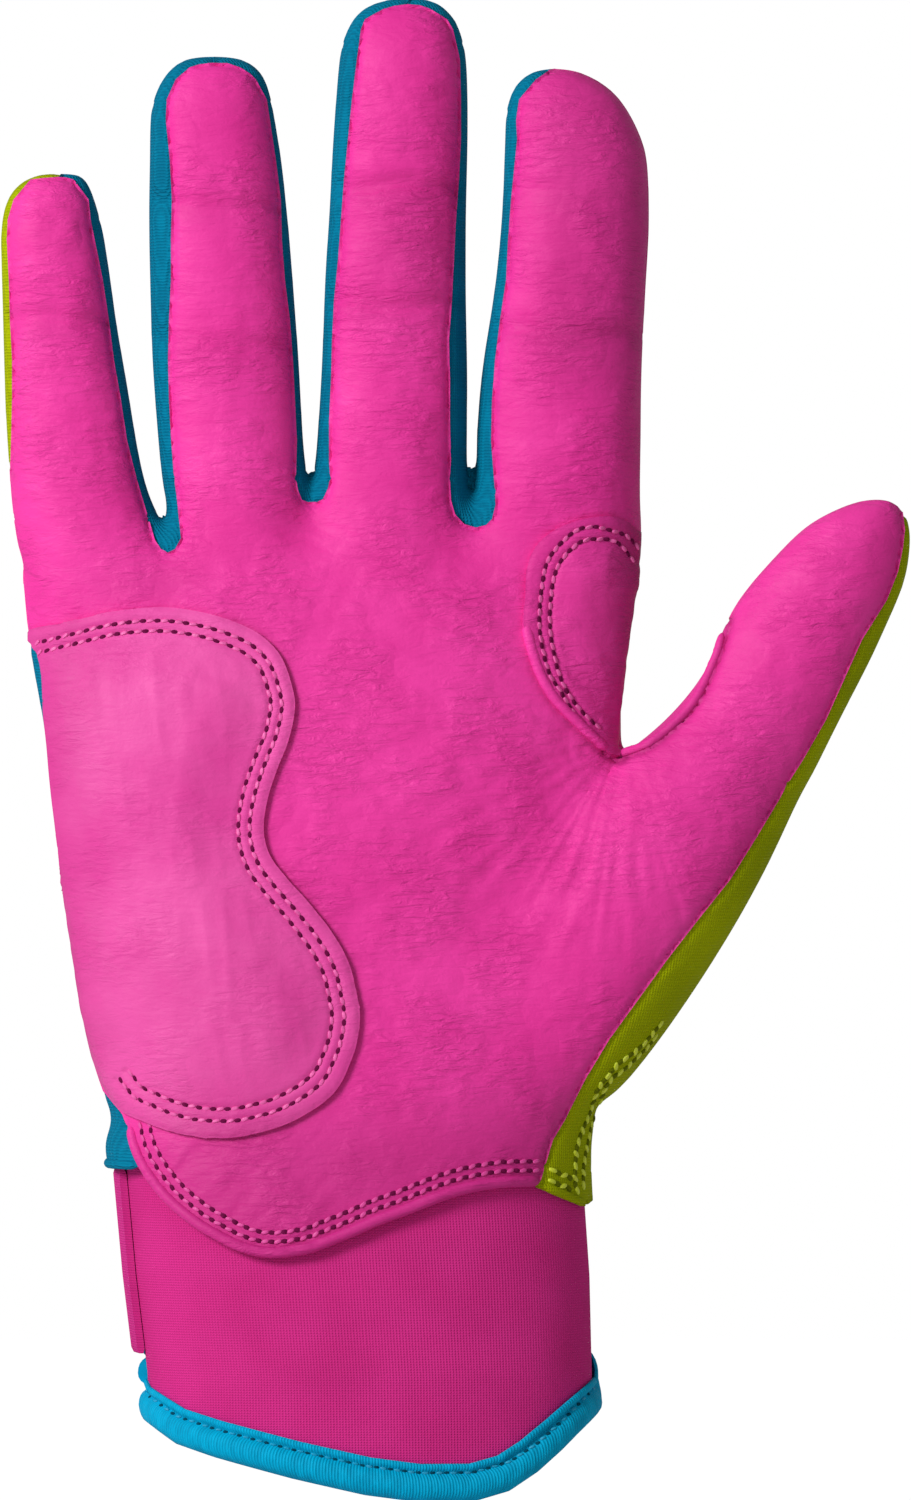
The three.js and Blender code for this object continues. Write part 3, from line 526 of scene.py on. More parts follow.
WEBS = {
    "little_ring": [(148.5, 518), (155, 540), (161, 549), (168, 552.5), (175, 549), (181, 538), (179, 520),
                    (177, 500), (174, 478), (153, 478), (158, 498), (163.5, 518)],
    "ring_middle": [(296, 478), (298, 490), (302, 500), (308, 502), (317, 502), (323, 499), (328, 488),
                    (330, 478)],
    "middle_index": [(450, 478), (451, 500), (455, 514), (464, 524), (476, 527.5), (486, 525), (492, 519),
                     (495.5, 505), (495, 492), (471, 492), (470.5, 478)],
}
BETWEEN = {"little": ("left", "little_ring"), "ring": ("little_ring", "ring_middle"),
           "middle": ("ring_middle", "middle_index"), "index": ("middle_index", "right")}
START = {"little": 518, "ring": 478, "middle": 478, "index": 492}
BACK_SHARE = 0.8


def back_outline(name):
    """The back panel of a finger: a share of its breadth, and the whole of its tip."""
    start, top = START[name], FINGER_TOPS[name]
    left, right = [], []
    for py, a, b, _ in FINGER_ROWS[name]:
        if top + 12 < py < start:
            share = BACK_SHARE + 0.25 * float(step_up(-py, -top - 90, -top - 20))
            left.append(((a + b) / 2 - share * (b - a) / 2, py))
            right.append(((a + b) / 2 + share * (b - a) / 2, py))
    foot = [(left[0][0], start), (right[0][0], start)]
    return [foot[0], *left, (left[-1][0], top - 30), (right[-1][0], top - 30), *right[::-1], foot[1]]


def above(gap, start):
    return [(x, y) for x, y in GAPS[gap] if y <= start + 0.1]


# %% Cut out the finger panels
pieces = {}
finger_blocks = {}
for name in FINGER_ROWS:
    start, top = START[name], FINGER_TOPS[name]
    low, high = (above(gap, start) for gap in BETWEEN[name])
    whole = prism(name + " block", low + high[::-1])
    middle_line = [((a + b) / 2, py) for py, a, b, _ in FINGER_ROWS[name] if py < start]
    middle_line = [(middle_line[0][0], start), *middle_line, (middle_line[-1][0], -60)]
    left_half = prism(name + " left", low + middle_line[::-1])
    right_half = prism(name + " right", middle_line + high[::-1])
    front = prism(name + " front", LEATHER[name], near=-60, far=0, top=top)
    back = prism(name + " back", back_outline(name), near=0, far=60, top=top)
    finger_blocks[name] = whole
    if name == "index":
        side = prism("index side", [(575, start), (575, -60), (690, -60), (690, start)], near=-1, far=60)
        front = combined("index front wrap", front, plus=[side], minus=[back])
    if name == "little":
        back = combined("little back wrap", back, plus=[left_half], minus=[front])
    pieces[name + "_leather"] = skin_in(hand, name + "_leather", front)
    pieces[name + "_back"] = skin_in(hand, name + "_back", back)
    if name != "little":
        pieces[name + "_left_side"] = skin_in(hand, name + "_left_side", left_half, front, back)
    if name != "index":
        pieces[name + "_right_side"] = skin_in(hand, name + "_right_side", right_half, front, back)

# %% Outlines of the palm, the thumb and the back of the hand
HEM = [(541, 1180), (539, 1184), (530, 1184), (505, 1184.5), (480, 1188), (455, 1194), (430, 1203),
       (405, 1213), (380, 1222), (355, 1233), (330, 1243), (315, 1249), (297, 1253), (280, 1255),
       (265, 1255), (250, 1252.5), (232, 1246), (217, 1238), (200, 1228.5), (185, 1217.5),
       (168, 1203), (155, 1188), (145, 1174), (137, 1160), (131, 1145), (127, 1127)]
THUMB_SEAM = [(787, 785), (779, 800), (755, 840), (730, 880), (698, 920), (667, 960), (638, 1000),
              (609, 1040), (585, 1080), (575, 1100), (565, 1120), (553, 1140), (547, 1160),
              (541, 1180)]
LEFT_SEAM = [(127, 1127), (122, 1114), (112, 1102), (104, 1092), (96, 1085), (40, 1085), (50, 900),
             (66, 885), (67, 860), (63, 820), (58.5, 780), (55, 740), (50, 700), (41, 660),
             (28, 640), (10, 630), (-40, 620)]
CROTCH = [(606, 752), (618, 759), (649, 748), (677, 726), (698, 702), (711, 676), (722, 649), (730, 620)]
HIDE = [(-40, 518), *WEBS["little_ring"][:9], (296, 478), *WEBS["ring_middle"][1:], (450, 478),
        *WEBS["middle_index"][1:9], (690, 492), (690, 600), (650, 690), (636, 722), (618, 759), (649, 748),
        (677, 726), (681, 722), *THUMB_SEAM, *HEM[1:], *LEFT_SEAM[1:]]
WRAP = [(600, 492), (690, 492), (660, 640), (640, 735), (600, 735)]
GUSSET = [*CROTCH, (715, 600), (690, 640), (665, 690), (640, 722), (622, 728), (612, 735)]
THUMB_LEATHER = [(681, 722), (698, 702), (711, 676), (722, 649), (730, 620), (720, 600), (740, 480),
                 (880, 470), (930, 500), (903, 512), (905, 530), (903, 548), (898, 572), (887, 600),
                 (862, 640), (844, 680), (826, 720), (803, 760), (787, 785)]
THUMB_BLOCK = [(681, 722), (698, 702), (711, 676), (722, 649), (730, 620), (715, 600), (715, 440),
               (960, 440), (960, 700), (787, 785)]
THUMB_FRONT_GREEN = [(787, 785), (960, 700), (960, 900), (586, 1206), (539, 1187), (520, 1150),
                     (560, 1050), (650, 930), (740, 810)]
THUMB_BACK_GREEN = [(500, 1250), (517, 1110), (554, 926), (600, 790), (612, 765), (625, 745),
                    (677, 690), (715, 600), (715, 440), (960, 440), (960, 900), (640, 1250)]
KNUCKLES = [(88, 714.6), (217, 664), (400.6, 645.7), (566, 682.5), (566, 622.8), (400.6, 584),
            (217, 600), (88, 650)]
BACK_HEM = 1167

# %% Cut out the palm, the thumb and the back of the hand
webs = {name: prism(name + " web block", outline) for name, outline in WEBS.items()}
gusset = prism("gusset block", GUSSET, near=-60, far=5)
hide_outline = prism("hide outline", HIDE, near=-60, far=0)
hide_block = combined("hide block", hide_outline, plus=[prism("wrap", WRAP, near=-1, far=4)], minus=[gusset])
thumb_leather = prism("thumb leather block", THUMB_LEATHER, near=-60, far=-2)
BELOW_HEM = [(400, BACK_HEM), (960, BACK_HEM), (960, 1400), (400, 1400)]
green_front = prism("green front", THUMB_FRONT_GREEN, near=-60, far=4)
green_back = prism("green back", THUMB_BACK_GREEN, near=4, far=60)
green = combined("green block", green_front, plus=[green_back, prism("green tip", THUMB_BLOCK)],
                 minus=[prism("below the hem", BELOW_HEM, near=0)])
knuckles = prism("knuckle block", KNUCKLES, near=2)
pieces["palm_hide"] = skin_in(hand, "palm_hide", hide_block)
pieces["crotch_strip"] = skin_in(hand, "crotch_strip", gusset)
pieces["thumb_leather"] = skin_in(hand, "thumb_leather", thumb_leather, gusset)
pieces["thumb_green"] = skin_in(hand, "thumb_green", green, thumb_leather, gusset, hide_block)
for name, web in webs.items():
    pieces[name + "_crotch"] = skin_in(hand, name + "_crotch", web)
everything = [(-40, 440), (760, 440), (760, BACK_HEM), (135, BACK_HEM), (-40, BACK_HEM)]
pieces["hand_back"] = skin_in(hand, "hand_back", prism("back block", everything), hide_block, gusset, green,
                              thumb_leather, knuckles, *webs.values(), *finger_blocks.values())
pieces["knuckle_stretch"] = skin_in(hand, "knuckle_stretch", knuckles)

# %% [markdown]
# The cuff is a tube of cloth that is wider than it is deep. Every piece of it, the strap and the
# tapes too, is a band that follows the tube at its own distance, so they lie on each other as on
# the real glove. A band is extruded from station to station round the wrist.

# %% Sizes of the cuff
CUFF_ROWS = [(1060, 108, 584, 15.6), (1091, 113, 584, 16.2), (1165, 125.7, 582, 17.5),
             (1275, 135.8, 589.5, 18.6), (1373, 147.7, 591.8, 19.6), (1532, 152, 593, 20.0)]
CUFF_POWER = 2.35
CUFF_CLOTH = 2.0
FRONT_FOOT = [(100, 1392), (144, 1401), (151, 1419), (180, 1438), (216, 1449), (294, 1469),
              (366, 1485), (419, 1492), (473, 1492), (509, 1482), (535, 1465), (559, 1444),
              (598, 1406), (640, 1392)]
BACK_FOOT, BACK_HEAD = 1382, 1136
CUFF_MIDDLE = 1275  # the row at which the turns round the cuff are measured
SLIT = (397.6, 415.9)
STRAP_HEIGHTS = (above_wrist(35.3), above_wrist(5.3))
TAPE_HEIGHTS = (above_wrist(33.8), above_wrist(6.8))
print("cuff:", round((CUFF_ROWS[3][2] - CUFF_ROWS[3][1]) * PX / MM, 1), "mm broad,", 2 * CUFF_ROWS[3][3],
      "mm deep")


def cuff_place(turn, py, out):
    """A point of the cuff, out mm from its face. Turn 0 is the thumb side and half pi the back."""
    rows = np.array(CUFF_ROWS)
    left, right, deep = (np.interp(py, rows[:, 0], rows[:, k]) for k in (1, 2, 3))
    c, s = math.cos(turn), math.sin(turn)
    a, b = (right - left) / 2 * PX, deep * MM
    x = a * math.copysign(abs(c) ** (2 / CUFF_POWER), c)
    y = b * math.copysign(abs(s) ** (2 / CUFF_POWER), s)
    n = Vector((math.copysign(abs(x / a) ** (CUFF_POWER - 1), x) / a,
                math.copysign(abs(y / b) ** (CUFF_POWER - 1), y) / b, 0)).normalized()
    return spot((left + right) / 2, py) + Vector((x, y, 0)) + n * out * MM, n


def length_round(turns):
    """The length round the cuff from the first turn to each."""
    places = np.array([cuff_place(t, CUFF_MIDDLE, 0)[0] for t in turns])
    return np.concatenate([[0], np.cumsum(np.linalg.norm(np.diff(places, axis=0), axis=1))])


def even_turns(first, last, step):
    """Turns from first to last, every step mm round the cuff."""
    fine = np.linspace(first, last, 2000)
    along = length_round(fine)
    count = 1 + max(2, int(along[-1] / (step * MM)))
    return np.interp(np.linspace(0, along[-1], count), along, fine)


def turn_at(first, last, test):
    """The first turn between two at which a test of the place in mm holds."""
    for turn in np.linspace(first, last, 4000):
        place = cuff_place(turn, CUFF_MIDDLE, 0)[0]
        if test(place.x / MM, place.y / MM):
            return turn
    return last


def row_on_line(turn, py, line):
    """The pixel row at which a turn of the cuff meets a line, found in a few rounds from py."""
    for _ in range(6):
        px = cuff_place(turn, py, 0)[0].x / PX + WRIST_X
        py = float(np.interp(px, [x for x, y in line], [y for x, y in line]))
    return py


def foot_of_front(turn):
    return row_on_line(turn, 1440.0, FRONT_FOOT)


HEM_HIDDEN = 5.0 * MM / PX  # the cuff runs on so far under the leather
hem_line = sorted((x, y - HEM_HIDDEN) for x, y in HEM)


def head_of_front(turn):
    return row_on_line(turn, 1150.0, hem_line)


def foot_of_back(turn):
    """The back's foot is level, and comes down to meet the front's at the thumb side."""
    return BACK_FOOT + (foot_of_front(0) - BACK_FOOT) * (1 - float(step_up(turn, 0.0, 0.4)))


# %% Build a band round the cuff
def band(name, turns, foot, head, face, thick, rows=20, round_off=0.3):
    """A strip of cloth from foot to head, its outer side face mm from the cuff's face."""
    loops = []
    for turn in turns:
        low, high, out_face, deep = (f(turn) if callable(f) else f for f in (foot, head, face, thick))
        loop = []
        for side in (0, 1):
            for i in range(rows):
                t = i / (rows - 1)
                near_end = min(i, rows - 1 - i) == 0
                py = low + (high - low) * (t if side == 0 else 1 - t)
                out = out_face - deep if side else out_face
                if near_end:
                    out += round_off if side else -round_off
                loop.append(cuff_place(turn, py, out)[0])
        loops.append(loop)
    return rings(name, loops)


slit_left, slit_right = ((px - WRIST_X) * PX / MM for px in SLIT)
back_left = even_turns(turn_at(PI / 2, PI, lambda x, y: x < slit_left), PI, 0.8)
back_right = even_turns(0, turn_at(PI / 2, 0, lambda x, y: x > slit_right), 0.8)
front_turns = even_turns(PI, 2 * PI, 0.6)
pieces["cuff_palm_side"] = band("cuff_palm_side", front_turns, foot_of_front, head_of_front, 0, CUFF_CLOTH,
                                rows=60)
pieces["cuff_back_left"] = band("cuff_back_left", back_left, BACK_FOOT, BACK_HEAD, 0, CUFF_CLOTH, rows=30)
pieces["cuff_back_right"] = band("cuff_back_right", back_right, foot_of_back, BACK_HEAD, 0, CUFF_CLOTH,
                                 rows=30)
print("cuff bands:", len(front_turns), len(back_left), len(back_right), "stations")

# %% Build the strap, its anchor, the tapes and what lies inside
strap_root = turn_at(PI / 2, 0, lambda x, y: x > 26.5)
strap_tip = turn_at(PI, 1.2 * PI, lambda x, y: y < -3)
anchor_end = turn_at(PI / 2, 0, lambda x, y: y < 6)


STRAP_OUT = 3.3  # how far the strap's outer face lies off the cuff, over both tapes


def strap_face(turn):
    """The strap lies on the tapes, and its tip comes down to the cuff at the little-finger side."""
    return STRAP_OUT - 1.95 * float(step_up(turn, strap_tip - 0.42, strap_tip))


def base_face(turn):
    """The strap's sewn end comes down to the cuff at the thumb side."""
    return STRAP_OUT - 2.3 * float(step_up(-turn, -anchor_end - 0.35, -anchor_end))


def ends_at(*limits):
    """The turns on the back at which the cuff passes these places across, in mm."""
    return [turn_at(0.01, PI, lambda x, y, limit=limit: x < limit) for limit in limits]


pieces["pull_strap"] = band("pull_strap", even_turns(strap_root, strap_tip, 0.7), *STRAP_HEIGHTS[::-1],
                            strap_face, 1.2, rows=40)
pieces["strap_base"] = band("strap_base", even_turns(anchor_end, strap_root - 0.004, 0.7),
                            *STRAP_HEIGHTS[::-1],
                            base_face, lambda turn: base_face(turn) - 0.3, rows=40)
tape_turns = even_turns(*ends_at(3, -31), 0.7)
pieces["hook_patch"] = band("hook_patch", tape_turns, *TAPE_HEIGHTS[::-1], 1.8, 0.6, rows=30, round_off=0.1)
pieces["loop_patch"] = band("loop_patch", tape_turns, *TAPE_HEIGHTS[::-1], 0.9, 0.6, rows=30, round_off=0.1)
pieces["slit_gusset"] = band("slit_gusset", even_turns(*ends_at(15, -3), 0.7), BACK_FOOT - 6, BACK_HEAD + 6,
                             -2.3, 0.6, round_off=0.1)
pieces["inner_elastic"] = band("inner_elastic", even_turns(1.12 * PI, 1.88 * PI, 0.7), above_wrist(24),
                               above_wrist(30), -2.3, 0.7, round_off=0.1)
pieces["blank_label"] = band("blank_label", even_turns(*ends_at(-9, -21), 0.7), above_wrist(8.3),
                             above_wrist(24.3), -2.3, 0.4, round_off=0.1)
print("strap:", round(1000 * (length_round([strap_root, strap_tip])[-1]), 1),
      "mm from root to tip, straight across")

# %% Fold the binding round the hem
# The folded tape in section: how far out of the cuff's face, and how far above its foot, in mm.
BINDING = [(0.1, 5.6), (0.45, 5.65), (0.72, 5.4), (0.8, 5.0), (0.65, 4.6), (0.32, 4.35),
           (0.28, 4.1), (0.55, 3.85), (0.95, 3.55), (1.35, 3.0), (1.58, 2.3), (1.66, 1.5),
           (1.55, 0.8), (1.15, 0.15), (0.45, -0.35), (-0.5, -0.6), (-1.6, -0.6), (-2.5, -0.25),
           (-3.05, 0.4), (-3.2, 1.3), (-3.1, 2.6), (-3.0, 4.2), (-2.7, 4.8), (-2.2, 4.8),
           (-2.1, 4.2), (-2.1, 2.0), (-2.1, 0.3), (-1.0, 0.15), (0.05, 0.3), (0.1, 2.5), (0.1, 4.5)]


def binding(name, turns, foot):
    path = [cuff_place(turn, foot(turn) if callable(foot) else foot, 0) for turn in turns]
    loops = []
    for i, (place, n) in enumerate(path):
        along = (path[min(i + 1, len(path) - 1)][0] - path[max(i - 1, 0)][0]).normalized()
        up = n.cross(along).normalized()
        up = up if up.z > 0 else -up
        loops.append([place + n * out * MM + up * high * MM for out, high in BINDING])
    return rings(name, loops)


pieces["binding_palm_side"] = binding("binding_palm_side", front_turns, foot_of_front)
pieces["binding_back_left"] = binding("binding_back_left", back_left, BACK_FOOT)
pieces["binding_back_right"] = binding("binding_back_right", back_right, foot_of_back)

# %% [markdown]
# A seam pulls both its edges down into the glove, a little more at each stitch. The cuts at the
# finger roots and the hems aren't sewn, so nothing is pulled down there. Each skin then gets the
# thickness of its leather or cloth, inwards.

# %% Pull the seams down
FREE_LINES = [((-60, 518), (164, 518)), ((153, 478), (471, 478)), ((470, 492), (720, 492)),
              ((681, 722), (787, 785)), ((539, 1187), (586, 1206)),
              ((-60, BACK_HEM), (960, BACK_HEM)), *zip(HEM[1:-1], HEM[2:])]


def from_line(x, y, line):
    (ax, ay), (bx, by) = line
    t = np.clip(((x - ax) * (bx - ax) + (y - ay) * (by - ay)) / ((bx - ax)**2 + (by - ay)**2), 0, 1)
    return np.hypot(x - ax - t * (bx - ax), y - ay - t * (by - ay))


def edge_points(ob):
    """The places of an open skin's edge."""
    bm = bmesh.new()
    bm.from_mesh(ob.data)
    places = [v.co.copy() for v in bm.verts if v.is_boundary]
    bm.free()
    return places


form_points, form_normals = points_of(hand), normals_of(hand)
form_tree = KDTree(len(form_points))
for k, place in enumerate(form_points):
    form_tree.insert(place, k)
form_tree.balance()


def form_normals_at(co):
    """The whole form's normals, which two panels share along their seam."""
    near = [form_tree.find_n(place, 3) for place in co]
    return np.array([np.mean([form_normals[k] for _, k, _ in found], axis=0) for found in near])


def thicken(ob, inwards, thick):
    """Gives an open skin its thickness inwards, with a wall along its edge."""
    co = points_of(ob)
    count = len(co)
    faces = [tuple(f.vertices) for f in ob.data.polygons]
    used = {}
    for face in faces:
        for a, b in zip(face, face[1:] + face[:1]):
            used[(a, b)] = used.get((a, b), 0) + 1
    walls = [(b, a, a + count, b + count) for a, b in used if (b, a) not in used]
    inner = [tuple(v + count for v in face[::-1]) for face in faces]
    mesh = bpy.data.meshes.new(ob.name)
    mesh.from_pydata(np.concatenate([co, co - inwards * thick * MM]).tolist(), [], faces + inner + walls)
    mesh.validate()
    old, ob.data = ob.data, mesh
    bpy.data.meshes.remove(old)


SKIN_THICK, PAD_THICK, STITCH_PITCH = 0.9, 0.8, 2.2  # in mm


def sew(ob, depth=0.45, width=0.8):
    """Pulls a skin's sewn edges down, then thickens it."""
    places = edge_points(ob)
    x, y = in_pixels(np.array(places))
    sewn = np.min([from_line(x, y, line) for line in FREE_LINES], axis=0) > 2.5
    tree = KDTree(len(places))
    for k in np.nonzero(sewn)[0]:
        tree.insert(places[k], int(k))
    tree.balance()
    co = points_of(ob)
    no = form_normals_at(co)
    # An edge point finds itself at no distance. It counts as 1 m off, so that the very edge stays
    # up as a thin lip beside the sunk seam.
    away = np.ones(len(co)) * 99
    if sewn.any():
        away = np.array([tree.find(place)[2] or 1.0 for place in co]) / MM
    stitch = 1 + 0.35 * np.sin(2 * PI * (co[:, 2] + 0.6 * co[:, 0]) / (STITCH_PITCH * MM))
    move_points(ob, co - no * (depth * stitch * np.exp(-(away / width)**2) * MM)[:, None])
    thicken(ob, no, SKIN_THICK)


SKINS = ("leather", "back", "side", "crotch", "hide", "strip", "green", "stretch")
for name, ob in pieces.items():
    if name.endswith(SKINS) and not name.startswith(("cuff", "binding")):
        sew(ob)
print("skins sewn, the palm's edge points:", len(edge_points(pieces["palm_hide"])), "left open")

# %% [markdown]
# Both pads are sewn on over foam: flat along their stitching, and crowned between. A cloth
# simulation could press such a pad, but this one is 2 mm thick on a curved hand, thinner than the
# simulation's voxels. So its skin is subdivided and raised along the hand's normals instead.

# %% Shape the pads
HEEL = [(31, 632), (70, 622), (112, 612), (157, 608), (197, 612), (233, 622), (261, 636),
        (281, 657), (292, 686), (295, 709), (289, 740), (278, 768), (268, 799), (264, 830),
        (270, 855), (286, 877), (309, 903), (331, 931), (348, 961), (356, 990), (360, 1016),
        (357, 1042), (350, 1064), (338, 1088), (318, 1107), (288, 1124), (260, 1133), (232, 1138),
        (197, 1137), (167, 1130), (145, 1121), (123, 1110), (106, 1090), (98, 1074), (84, 1030),
        (73, 970), (66, 920), (68, 884), (69, 860), (65, 820), (60.5, 780), (57, 740), (52, 700),
        (43, 660)]
HEEL_SEWN = 33  # the first points, round the palm side; the rest follow the side seam
INDEX = [(640, 532), (625, 522), (609, 516), (582, 519), (556, 529), (537, 545), (527, 568),
         (525, 594), (522, 627), (527, 643), (537, 675), (556, 705), (582, 731), (602, 750),
         (618, 757), (632, 735), (650, 700), (700, 640), (700, 532)]
INDEX_SEWN = 15


def distance_to(line, co):
    """How far points are from a line in the picture's plane, in mm."""
    tree = KDTree(len(line))
    for i, (x, y) in enumerate(line):
        tree.insert((x, y, 0), i)
    tree.balance()
    x, y = in_pixels(co)
    return np.array([tree.find((a, b, 0))[2] for a, b in zip(x, y)]) * PX / MM


def inside(points, *offsets):
    """A row inside an edge, its distance in mm given at even steps along the edge."""
    line = np.array(smooth_line(points, step=3.0))
    way = np.gradient(line, axis=0)
    way /= np.linalg.norm(way, axis=1)[:, None]
    at = np.linspace(0, 1, len(line))
    off = np.interp(at, np.linspace(0, 1, len(offsets)), offsets) * MM / PX
    return line + np.stack([-way[:, 1], way[:, 0]], axis=1) * off[:, None]


HEEL_ROWS = [inside(HEEL[:HEEL_SEWN], 2.0, 2.2, 2.6, 2.9), inside(HEEL[:HEEL_SEWN], 3.6, 4.0, 4.6, 4.9)]
INDEX_ROWS = [smooth_line([(639, 549), (626, 536), (602, 528), (589, 527), (575, 531), (559, 545),
                           (547.5, 561), (542.5, 581),
                           (539.5, 610), (539.5, 630), (543, 652), (550, 676), (559, 689), (570, 707.5),
                           (581, 722)]),
              smooth_line([(634, 562), (621, 546), (610, 540), (595, 539), (582, 541), (569, 551), (559, 564),
                           (553, 581),
                           (550, 607.5), (550, 630), (554, 655), (561, 680), (572.5, 700), (584, 714),
                           (598, 727)])]


def pad(name, outline, sewn, rows, crown, wide):
    """A pad's leather: a fuzzy cut edge, two sewn rows that are pulled down, and a crown of foam."""
    line = smooth_line(outline, closed=True, step=2.0)
    ob = skin_in(hand, name, prism(name + " block", line, near=-60, far=0))
    modify(ob, "SUBSURF", levels=1, render_levels=1)
    co, no = points_of(ob), normals_of(ob)
    cut = distance_to(smooth_line(outline[:sewn], step=2.0), co)
    inner = distance_to([tuple(q) for q in rows[1]], co)
    outer = distance_to([tuple(q) for q in rows[0]], co)
    x, y = in_pixels(co)
    rise = 1.05 - 0.25 * np.exp(-(cut / 0.5)**2)  # one leather above the other, thin at its cut edge
    rise -= 0.30 * np.exp(-(outer / 0.45)**2) + 0.34 * np.exp(-(inner / 0.5)**2)  # the sewn channels
    rise += crown * step_up(cut, 4.0, wide)  # the foam
    rise += 0.10 * wrinkles(x, y, 1.45, 11, 3.4, 81) * step_up(cut, 5, 9)
    rise += 0.16 * value_noise(x / 46, y / 60, 91) * step_up(cut, 5, 12)
    rise += 0.05 * value_noise(x / 5, y / 5, 95) * np.exp(-(cut / 1.2)**2)  # fuzz at the cut
    rise *= 0.08 + 0.92 * step_up(-no[:, 1], 0.15, 0.8)  # flat where the hand turns to its side
    move_points(ob, co + no * (rise * MM)[:, None])
    thicken(ob, no, PAD_THICK)
    return ob


pieces["heel_pad"] = pad("heel_pad", HEEL, HEEL_SEWN, HEEL_ROWS, 1.5, 15)
pieces["index_pad"] = pad("index_pad", INDEX, INDEX_SEWN, INDEX_ROWS, 1.0, 9)

# %% [markdown]
# Raw edges are turned over. A rolled edge is a soft cord of leather or cloth, which follows the
# hem where the skin ends. Rays cast onto the piece find the places that it passes through.

# %% Roll the hems and the welt at the thumb's crotch
def surface(ob):
    bm = bmesh.new()
    bm.from_mesh(ob.data)
    tree = BVHTree.FromBMesh(bm)
    bm.free()
    return tree


def seen_at(tree, points):
    """Where the line of sight meets a piece, at points in pixels."""
    found = []
    for x, y in points:
        eye = spot(*MIDDLE, -CAMERA_FAR)
        place, normal, _, _ = tree.ray_cast(eye, (spot(x, y) - eye).normalized())
        if place is not None:
            found.append((place, normal))
    return found


def evened(path, reach=3):
    """The same path with its small steps smoothed out."""
    out = []
    for i in range(len(path)):
        near = path[max(0, i - reach):i + reach + 1]
        balance = min(i, len(path) - 1 - i, reach)
        close = path[i - balance:i + balance + 1]
        middle = sum((q[0] for q in close), Vector()) / len(close)
        out.append((middle, sum((q[1] for q in near), Vector()).normalized()))
    return out


PALM_MIDDLE = 355  # across, in pixels


def round_at(tree, height, first, last, count):
    """Where rays from the glove's middle outwards meet a piece, at one height."""
    found = []
    for turn in np.linspace(first, last, count):
        way = Vector((math.cos(turn), math.sin(turn), 0))
        place, normal, _, _ = tree.ray_cast(spot(PALM_MIDDLE, height, 0) + way * 60 * MM, -way)
        if place is not None:
            found.append((place, normal))
    return found


TAPER = (0.35, 0.75, 0.93, 1.0)


def rolled(name, path, radius, lift=0.0, flat=1.0, bumps=0.0):
    """A soft cord along a path; its ends taper to a rounded tip."""
    loops = []
    path = evened(path)
    for i, (place, normal) in enumerate(path):
        along = (path[min(i + 1, len(path) - 1)][0] - path[max(i - 1, 0)][0]).normalized()
        side = along.cross(normal).normalized()
        up = side.cross(along).normalized()
        up = up if up.dot(normal) > 0 else -up
        end = min(i, len(path) - 1 - i)
        size = radius * TAPER[min(end, 3)] * (1 + bumps * math.sin(i * 1.9) * math.sin(i * 0.7))
        loops.append([place + (up * (lift + size * flat * math.sin(t)) + side * size * math.cos(t)) * MM
                      for t in np.linspace(0, 2 * math.pi, 12, endpoint=False)])
    return rings(name, loops)


def add_roll(name, roll):
    pieces[name] = joined(name, pieces[name], roll)


hide_face, green_face = surface(pieces["palm_hide"]), surface(pieces["thumb_green"])
back_face, strip_face = surface(pieces["hand_back"]), surface(pieces["crotch_strip"])
hem_path = seen_at(hide_face, inside(HEM[1:], 0.45))
add_roll("palm_hide", rolled("palm hem roll", hem_path, 0.95, lift=-0.2))
green_path = seen_at(green_face, [(x, 1187 + (x - 539) * 0.4 - 3) for x in range(542, 588, 4)])
add_roll("thumb_green", rolled("green hem roll", green_path, 0.75, lift=-0.2))
back_path = round_at(back_face, BACK_HEM - 4, 0.9, PI + 0.35, 160)
add_roll("hand_back", rolled("back hem roll", back_path, 0.85, lift=-0.2))
WELT = [(618, 759), (649, 748), (677, 726), (698, 702), (711, 676), (722, 649), (725, 626)]
welt_path = seen_at(strip_face, [(x - 1.5, y - 3) for x, y in smooth_line(WELT, step=3.0)])
add_roll("crotch_strip", rolled("crotch welt", welt_path, 0.88, lift=0.1, flat=0.9, bumps=0.06))
RIDGE = [(522, 627), (527, 643), (537, 675), (556, 705), (582, 731), (602, 750), (618, 759)]
ridge_line = [tuple(q) for q in inside(RIDGE, -0.45)]
add_roll("palm_hide", rolled("pad welt", seen_at(hide_face, ridge_line), 0.95, lift=0.45, flat=0.9,
                             bumps=0.05))
print("rolls:", len(hem_path), len(green_path), len(back_path), len(welt_path), "stations")

# %% [markdown]
# Each stitch is a short piece of twisted thread between two needle holes. One stitch is shaped
# from a sphere, then set along its row wherever the line of sight meets the leather. A needle hole
# is a dark grain, sunk a little: painted shade where the hole is.

# %% Make one stitch and one needle hole
def grain_of(segments, half_length, half_breadth, square):
    """Points and faces of a rounded grain that lies along x, its sizes in mm."""
    bpy.ops.object.select_all(action="DESELECT")
    bpy.ops.mesh.primitive_uv_sphere_add(segments=segments, ring_count=6, radius=1)
    ob = bpy.context.object
    bpy.ops.object.mode_set(mode="EDIT")
    bpy.ops.mesh.select_all(action="SELECT")
    bpy.ops.transform.rotate(value=PI / 2, orient_axis="Y", center_override=(0, 0, 0))
    bpy.ops.object.mode_set(mode="OBJECT")
    co = points_of(ob)
    co = np.sign(co) * np.abs(co) ** square * np.array([half_length, half_breadth, half_breadth * 0.8]) * MM
    faces = [tuple(f.vertices) for f in ob.data.polygons]
    bpy.data.objects.remove(ob)
    return co, faces


